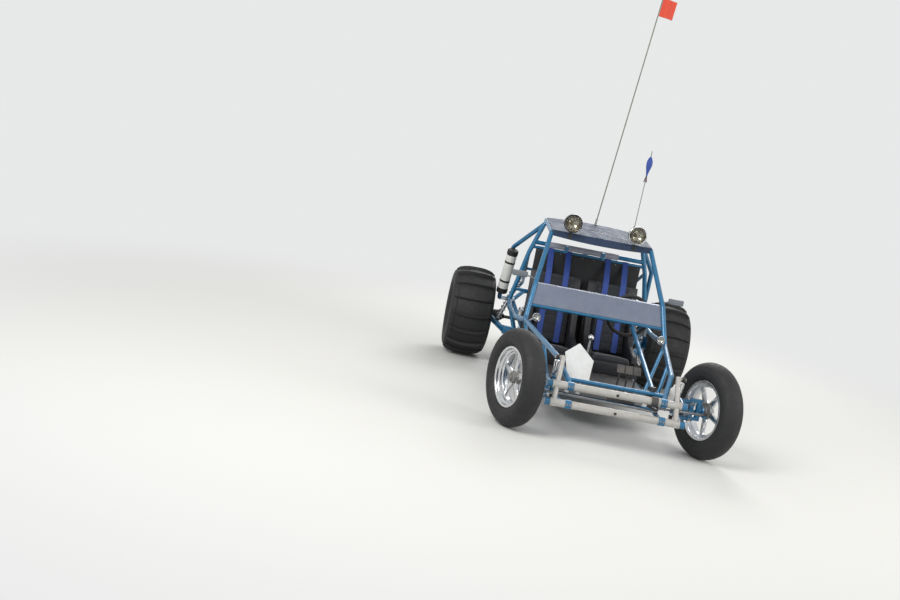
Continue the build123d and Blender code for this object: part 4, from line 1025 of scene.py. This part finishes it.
# Fuel tank: spun aluminium with domed ends, straps and a filler.
tankLook = {"centre": (0, 2.1427, 0.9438), "radius": 0.1245, "length": 0.620}
tankEnd, tankRadius = tankLook["length"] / 2, tankLook["radius"]
bm = bmesh.new()
domeLook = ((0, 0), (0.035, 0.001), (0.070, 0.006), (0.098, 0.016), (0.115, 0.030), (0.123, 0.047),
    (tankRadius, 0.062))
dome = [(r, tankEnd - inset) for r, inset in domeLook]
belt = [(tankRadius, 0.206), (tankRadius - 0.0015, 0.204), (tankRadius - 0.0015, 0.198),
    (tankRadius, 0.196)]
lathe(bm, dome + belt + [(r, -z) for r, z in reversed(dome + belt)], acrossCar(spot(*tankLook["centre"])),
    72)
finishPiece(bm, "fuelTank", "polishedAlloy", "chassis", ["fuel_tank"])
bands, fillers = bmesh.new(), bmesh.new()
for x in (-0.2, 0.2):
    lathe(bands, [(0.1235, -0.014), (0.1262, -0.013), (0.1262, 0.013), (0.1235, 0.014)],
        acrossCar(spot(x, *tankLook["centre"][1:])), 72, ring=True)
top = spot(0.0, tankLook["centre"][1], tankLook["centre"][2] + tankRadius)
lathe(fillers, [(0, 0.034), (0.026, 0.034), (0.031, 0.030), (0.031, 0.014), (0.024, 0.011),
    (0.024, -0.004), (0, -0.004)], Matrix.Translation(top), 36)
for angle in evenAngles(12):
    grip = top + Vector((0.0305 * cos(angle), 0.0305 * sin(angle), 0))
    bar(fillers, grip + Vector((0, 0, 0.015)), grip + Vector((0, 0, 0.030)), 0.0022, sides=8)
bar(fillers, top + Vector((0.16, 0, -0.004)), top + Vector((0.16, 0, 0.016)), 0.008, sides=6, edge=0.001)
finishPiece(bands, "tankStraps", "zincSteel", "chassis")
finishPiece(fillers, "tankFiller", "chromePlate", "chassis")
print("tank done")

# Mirrors, document tube caps, whip feet.
mirrorLook = {"x": 0.627, "station": 1.257, "height": 0.908, "size": (0.122, 0.026, 0.046),
    "stalk": ((0.502, 1.206, 0.8905), (0.592, 1.2615, 0.908))}
housings, glasses = bmesh.new(), bmesh.new()
for name, side in sides:
    centre = spot(side * mirrorLook["x"], mirrorLook["station"], mirrorLook["height"])
    block(housings, mirrorLook["size"], Matrix.Translation(centre), 0.009, 4)
    bar(housings, *[sideSpot(side, end) for end in mirrorLook["stalk"]], 0.0058, sides=16)
    block(glasses, (0.108, 0.002, 0.035), Matrix.Translation(centre + Vector((0, 0.0135, 0))), 0.0006, 1)
finishPiece(housings, "mirrorHousings", "greyAbs", "chassis", ["mirrors"])
finishPiece(glasses, "mirrorGlasses", "mirrorSilver", "chassis")

# The ends are shares of the stay's length.
tubeLook = {"stay": ((-0.612, 2.215, 1.025), (-0.636, 2.330, 0.560)), "stayRadius": 0.019,
    "radius": 0.044, "gap": 0.0003, "ends": (0.02, 0.84)}
caps = bmesh.new()
stayBend, stayLow = [Vector(point) for point in tubeLook["stay"]]
leg = stayLow - stayBend
standOff = tubeLook["stayRadius"] + tubeLook["radius"] + tubeLook["gap"]
away = (forward - leg * (forward.dot(leg) / leg.dot(leg))).normalized() * standOff
capEnds = [spot(*(stayBend + leg * share + away)) for share in tubeLook["ends"]]
for start, end in (capEnds, capEnds[::-1]):
    lathe(caps, [(0, -0.004), (0.040, -0.004), (0.0465, 0.002), (0.0465, 0.042), (0.0442, 0.044),
        (0, 0.044)], aimed(start, end), 48)
    for angle in evenAngles(16):
        place = aimed(start, end) @ Matrix.Rotation(angle, 4, "Z")
        block(caps, (0.0016, 0.006, 0.034), place @ Matrix.Translation((0.0468, 0, 0.022)), 0.0004, 1)
for share in (0.28, 0.72):
    ring = aimed(*capEnds) @ Matrix.Translation((0, 0, (capEnds[1] - capEnds[0]).length * share))
    lathe(caps, [(0.0441, -0.009), (0.0456, -0.008), (0.0456, 0.008), (0.0441, 0.009)], ring, 48,
        ring=True)
finishPiece(caps, "documentTubeCaps", "softRubber", "chassis")

whipLook = {"tall": ((0, 1.975, 1.3343), (0.172, 2.015, 3.300), 0.005),
    "short": ((0.330, 1.975, 1.3343), (0.368, 2.095, 2.046), 0.0035)}
whipFeet = bmesh.new()
for foot, tip, radius in whipLook.values():
    foot, tip = spot(*foot), spot(*tip)
    lathe(whipFeet, [(0, 0), (0.011, 0), (0.011, 0.004), (0.008, 0.006), (radius + 0.0025, 0.050),
        (radius + 0.0004, 0.060), (0, 0.060)], aimed(foot, tip), 28)
    coilSpring(whipFeet, foot.lerp(tip, 0.005), foot.lerp(tip, 0.075 / (tip - foot).length),
        radius + 0.0045, 0.0014, 9, 14, 6)
finishPiece(whipFeet, "whipFeet", "zincSteel", "chassis")
print("small fittings done")

# Whip flags: nylon cloth sewn round the pole.
flagLook = {
    "tall": {"size": (0.120, 0.150), "height": 1.880},
    "sock": {"radius": 0.0255, "length": 0.170, "height": 0.590, "neck": 0.24, "bands": 16},
}


def poleFrame(foot, tip):
    way = (tip - foot).normalized()
    across = (Vector((1, 0, 0)) - way * way.x).normalized()
    return Matrix.Translation(foot) @ Matrix((across, way.cross(across), way)).transposed().to_4x4()


def thickened(piece, thickness):
    piece.modifiers.new("thick", "SOLIDIFY").thickness = thickness


def sockRadius(down):
    # narrow at both ends, widest a third of the way below its mouth; down runs from tail to mouth
    sock = flagLook["sock"]
    return sock["radius"] * (sock["neck"] + (1 - sock["neck"]) * sin(pi * down ** 1.6))


foot, tip, radius = whipLook["tall"]
pole = poleFrame(spot(*foot), spot(*tip))
bm = bmesh.new()
wide, high = flagLook["tall"]["size"]
grid = bmesh.ops.create_grid(bm, x_segments=24, y_segments=28, size=0.5)["verts"]
for v in grid:
    reach, rise = v.co.x + 0.5, v.co.y
    sway = 0.0055 * sin(reach * 9 + rise * 1.4) * reach ** 0.6
    v.co = pole @ Vector((radius + 0.0008 + wide * reach * 0.985, sway,
        flagLook["tall"]["height"] + rise * high - 0.004 * reach ** 2))
flagCloth = finishPiece(bm, "flagTallCloth", "orangeNylon", "chassis", ["flag_tall"], 180)
thickened(flagCloth, 0.0008)

foot, tip, radius = whipLook["short"]
pole = poleFrame(spot(*foot), spot(*tip))
bm = bmesh.new()
sock = flagLook["sock"]
ring = bmesh.ops.create_circle(bm, segments=40, radius=sock["radius"], cap_ends=False)["verts"]
ringEdges = list({e for v in ring for e in v.link_edges})
for step in range(sock["bands"]):
    made = bmesh.ops.extrude_edge_only(bm, edges=ringEdges)["geom"]
    moved = [g for g in made if isinstance(g, bmesh.types.BMVert)]
    newEdges = [g for g in made if isinstance(g, bmesh.types.BMEdge)]
    ringEdges = [edge for edge in newEdges if all(v in moved for v in edge.verts)]
    bmesh.ops.translate(bm, verts=moved, vec=(0, 0, sock["length"] / sock["bands"]))
for v in bm.verts:
    down = v.co.z / sock["length"]
    around = atan2(v.co.y, v.co.x)
    squeeze = sockRadius(down) / sock["radius"] * (1 + 0.05 * sin(around * 5 + 4 * down))
    v.co.x *= squeeze
    v.co.y *= squeeze
    v.co.z += sock["height"] - sock["length"] / 2
bmesh.ops.recalc_face_normals(bm, faces=bm.faces)
bmesh.ops.transform(bm, matrix=pole, verts=bm.verts)
sockCloth = finishPiece(bm, "flagShortSock", "blueNylon", "chassis", ["flag_short"], 180)
thickened(sockCloth, 0.0008)
bm = bmesh.new()
for index in range(4):      # loose tails sewn to its lower end
    angle = 2 * pi * index / 4 + 0.4
    strip = bmesh.ops.create_grid(bm, x_segments=2, y_segments=12, size=0.5)["verts"]
    for v in strip:
        drop = 0.5 - v.co.y
        out = sock["radius"] * sock["neck"] + 0.007 * drop * (1 + 0.5 * index / 4)
        turn = angle + v.co.x * 0.9 + 0.5 * drop * sin(index * 2.1)
        v.co = (out * cos(turn), out * sin(turn), sock["height"] - sock["length"] / 2 - 0.050 * drop)
bmesh.ops.transform(bm, matrix=pole, verts=bm.verts)
streamers = finishPiece(bm, "flagShortTails", "maroonNylon", "chassis", (), 180)
thickened(streamers, 0.0006)
print("flags done")

# Dash: gauges and switches behind the panel, rivets along its edges.
dashLook = {
    "low": (1.081, 0.716),
    "high": (1.160, 0.868),
    "rise": 0.171,
    "skin": 0.0022,
    "gauges": ((0.180, 0.62), (0.262, 0.62), (0.344, 0.62)),
}
dashUp = Vector((0, dashLook["high"][0] - dashLook["low"][0],
    dashLook["high"][1] - dashLook["low"][1])).normalized()
dashBack = Vector((0, dashUp.z, -dashUp.y))
rims, faces, rivets = bmesh.new(), bmesh.new(), bmesh.new()
for x, share in dashLook["gauges"]:
    at = spot(x, *dashLook["low"]) + dashUp * (dashLook["rise"] * share) + dashBack * dashLook["skin"]
    lathe(rims, [(0.0255, 0), (0.030, 0), (0.030, 0.007), (0.0285, 0.010), (0.0265, 0.010),
        (0.0255, 0.007)], aimed(at, at + dashBack), 40, ring=True)
    lathe(faces, [(0, 0), (0.0258, 0), (0.0258, 0.004), (0, 0.004)], aimed(at, at + dashBack), 40)
for x in (-0.05, -0.015, 0.02, 0.055):
    at = spot(x, *dashLook["low"]) + dashUp * 0.095 + dashBack * dashLook["skin"]
    bar(rims, at, at + dashBack * 0.006, 0.0075, sides=6, edge=0.0006)
    bar(rims, at + dashBack * 0.005, at + dashBack * 0.022 + dashUp * 0.006, 0.0026, 0.0042, sides=12,
        edge=0.0006)
for side in (-1, 1):
    for share in (0.12, 0.5, 0.88):
        at = spot(side * 0.485, *dashLook["low"]) + dashUp * (dashLook["rise"] * share)
        rivet(rivets, at, -dashBack)
for x in (-0.36, -0.24, -0.12, 0, 0.12, 0.24, 0.36):
    at = spot(x, *dashLook["low"]) + dashUp * 0.010
    rivet(rivets, at, -dashBack)
finishPiece(rims, "gaugeRims", "chromePlate", "chassis")
finishPiece(faces, "gaugeFaces", "engineEnamel", "chassis")
finishPiece(rivets, "dashRivets", "zincSteel", "chassis")

# Crossbar clamps and the rivets of the panel behind the seats.
barLook = {"station": 1.975, "upper": 1.120, "clamps": (-0.197, 0.116), "linkHeight": 1.094}
clamps, rivets = bmesh.new(), bmesh.new()
for x in barLook["clamps"]:
    for size, z in (((0.034, 0.058, 0.030), barLook["upper"]), ((0.034, 0.036, 0.060),
        barLook["linkHeight"])):
        block(clamps, size, Matrix.Translation(spot(x, barLook["station"], z)), 0.004)
finishPiece(clamps, "barClamps", "blueEnamel", "chassis")
for index in range(10):
    for z in (0.335, 1.058):
        at = spot(-0.4275 + 0.095 * index, 1.9567, z)
        rivet(rivets, at, forward)
finishPiece(rivets, "panelRivets", "zincSteel", "chassis")
print("trim done")

# Engine trim: fan belt between the pulleys and bails over the rocker covers.
beltLook = {"station": 2.955, "low": (0.400, 0.0885), "high": (0.595, 0.0565), "thick": 0.005,
    "width": 0.011}
bm = bmesh.new()
rise = beltLook["high"][0] - beltLook["low"][0]
lean = (beltLook["low"][1] - beltLook["high"][1]) / rise
level = (1 - lean ** 2) ** 0.5
for name, side in sides:
    start = spot(side * beltLook["low"][1] * level, beltLook["station"],
        beltLook["low"][0] + beltLook["low"][1] * lean)
    end = spot(side * beltLook["high"][1] * level, beltLook["station"],
        beltLook["high"][0] + beltLook["high"][1] * lean)
    block(bm, (beltLook["thick"], beltLook["width"], (end - start).length + 0.004),
        aimed(start, end) @ Matrix.Translation((0, 0, (end - start).length / 2)), 0.001, 1)
for z, radius in (beltLook["low"], beltLook["high"]):
    lathe(bm, [(radius - 0.003, -0.0055), (radius + 0.0025, -0.0055), (radius + 0.0025, 0.0055),
        (radius - 0.003, 0.0055)], forwards(spot(0, beltLook["station"], z)), 60, ring=True)
finishPiece(bm, "fanBelt", "softRubber", "chassis")
bailLook = {"stations": (2.700, 2.840), "face": 0.3755, "hinge": 0.344, "wire": 0.0022}
bails = bmesh.new()
for name, side in sides:
    for station in bailLook["stations"]:
        low, high = [spot(side * bailLook["face"], station, z) for z in (0.360, 0.436)]
        bar(bails, low, high, bailLook["wire"], sides=8)
        bar(bails, spot(side * bailLook["hinge"], station, 0.355), low, bailLook["wire"], sides=8)
        bar(bails, spot(side * bailLook["hinge"], station, 0.441), high, bailLook["wire"], sides=8)
finishPiece(bails, "coverBails", "zincSteel", "chassis")
print("engine trim done")

stageLook = {"floor": "#dddcd8", "sky": "#eeefef", "skyLevel": 0.94, "extent": 60, "fade": (2.2, 7.0)}


def stageMaterial(name, look):
    # a matt painted floor that runs out into the pale background
    material = bpy.data.materials.new(name)
    material.use_nodes = True
    tree = material.node_tree
    shader = tree.nodes["Principled BSDF"]
    shader.inputs["Base Color"].default_value = linear(look["floor"])
    shader.inputs["Roughness"].default_value = 0.9
    place = addNode(tree, "ShaderNodeTexCoord").outputs["Object"]
    away = addNode(tree, "ShaderNodeVectorMath", {0: place}, operation="LENGTH").outputs["Value"]
    far = addNode(tree, "ShaderNodeMapRange", {"Value": away, "From Min": look["fade"][0],
        "From Max": look["fade"][1]}, interpolation_type="SMOOTHSTEP").outputs["Result"]
    watched = addNode(tree, "ShaderNodeLightPath").outputs["Is Camera Ray"]
    share = addNode(tree, "ShaderNodeMath", {0: far, 1: watched}, operation="MULTIPLY").outputs["Value"]
    pale = addNode(tree, "ShaderNodeEmission", {"Color": linear(look["sky"]),
        "Strength": look["skyLevel"]}).outputs["Emission"]
    blend = addNode(tree, "ShaderNodeMixShader", {0: share, 1: shader.outputs["BSDF"], 2: pale})
    tree.links.new(blend.outputs["Shader"], tree.nodes["Material Output"].inputs["Surface"])
    return material


bm = bmesh.new()
bmesh.ops.create_grid(bm, x_segments=2, y_segments=2, size=stageLook["extent"])
floorMesh = bpy.data.meshes.new("studioFloor")
bm.to_mesh(floorMesh)
bm.free()
floorMesh.materials.append(stageMaterial("paintedFloor", stageLook))
studioFloor = bpy.data.objects.new("studioFloor", floorMesh)
bpy.context.scene.collection.objects.link(studioFloor)

world = bpy.data.worlds.new("studioWorld")
bpy.context.scene.world = world
world.use_nodes = True
tree = world.node_tree
background = tree.nodes["Background"]
rays = addNode(tree, "ShaderNodeLightPath")
shown = addNode(tree, "ShaderNodeMath", {0: rays.outputs["Is Camera Ray"],
    1: rays.outputs["Is Glossy Ray"]}, operation="MAXIMUM")
seen = addNode(tree, "ShaderNodeMath", {0: shown.outputs["Value"],
    1: rays.outputs["Is Transmission Ray"]}, operation="MAXIMUM")
level = addNode(tree, "ShaderNodeMapRange", {"Value": seen.outputs["Value"], "To Min": 0.62,
    "To Max": stageLook["skyLevel"]})
background.inputs["Color"].default_value = linear(stageLook["sky"])
tree.links.new(level.outputs["Result"], background.inputs["Strength"])

lamps = {
    "keyLamp": {"at": (-4.5, -5.5, 5.5), "size": 4.0, "power": 380},
    "fillLamp": {"at": (5.5, -4.0, 3.5), "size": 4.0, "power": 170},
    "backLamp": {"at": (1.5, 6.0, 5.0), "size": 4.0, "power": 260},
}
for name, spec in lamps.items():
    data = bpy.data.lights.new(name, "AREA")
    data.shape = "DISK"
    data.size = spec["size"]
    data.energy = spec["power"]
    lampObject = bpy.data.objects.new(name, data)
    lampObject.location = spec["at"]
    lampObject.rotation_mode = "QUATERNION"
    lampObject.rotation_quaternion = (Vector((0, 0, 0.7)) - Vector(spec["at"])).to_track_quat("-Z", "Y")
    bpy.context.scene.collection.objects.link(lampObject)

cameraLook = {"at": (-1.7097, -7.5798, 1.7926), "turn": (82.18, -11.00, -2.29), "lens": 45.84}
data = bpy.data.cameras.new("photoCamera")
data.lens = cameraLook["lens"]
data.sensor_width = 36
photoCamera = bpy.data.objects.new("photoCamera", data)
photoCamera.location = spot(*cameraLook["at"])
photoCamera.rotation_euler = [radians(angle) for angle in cameraLook["turn"]]
bpy.context.scene.collection.objects.link(photoCamera)
bpy.context.scene.camera = photoCamera
bpy.context.scene.view_settings.view_transform = "Standard"
print("stage done")
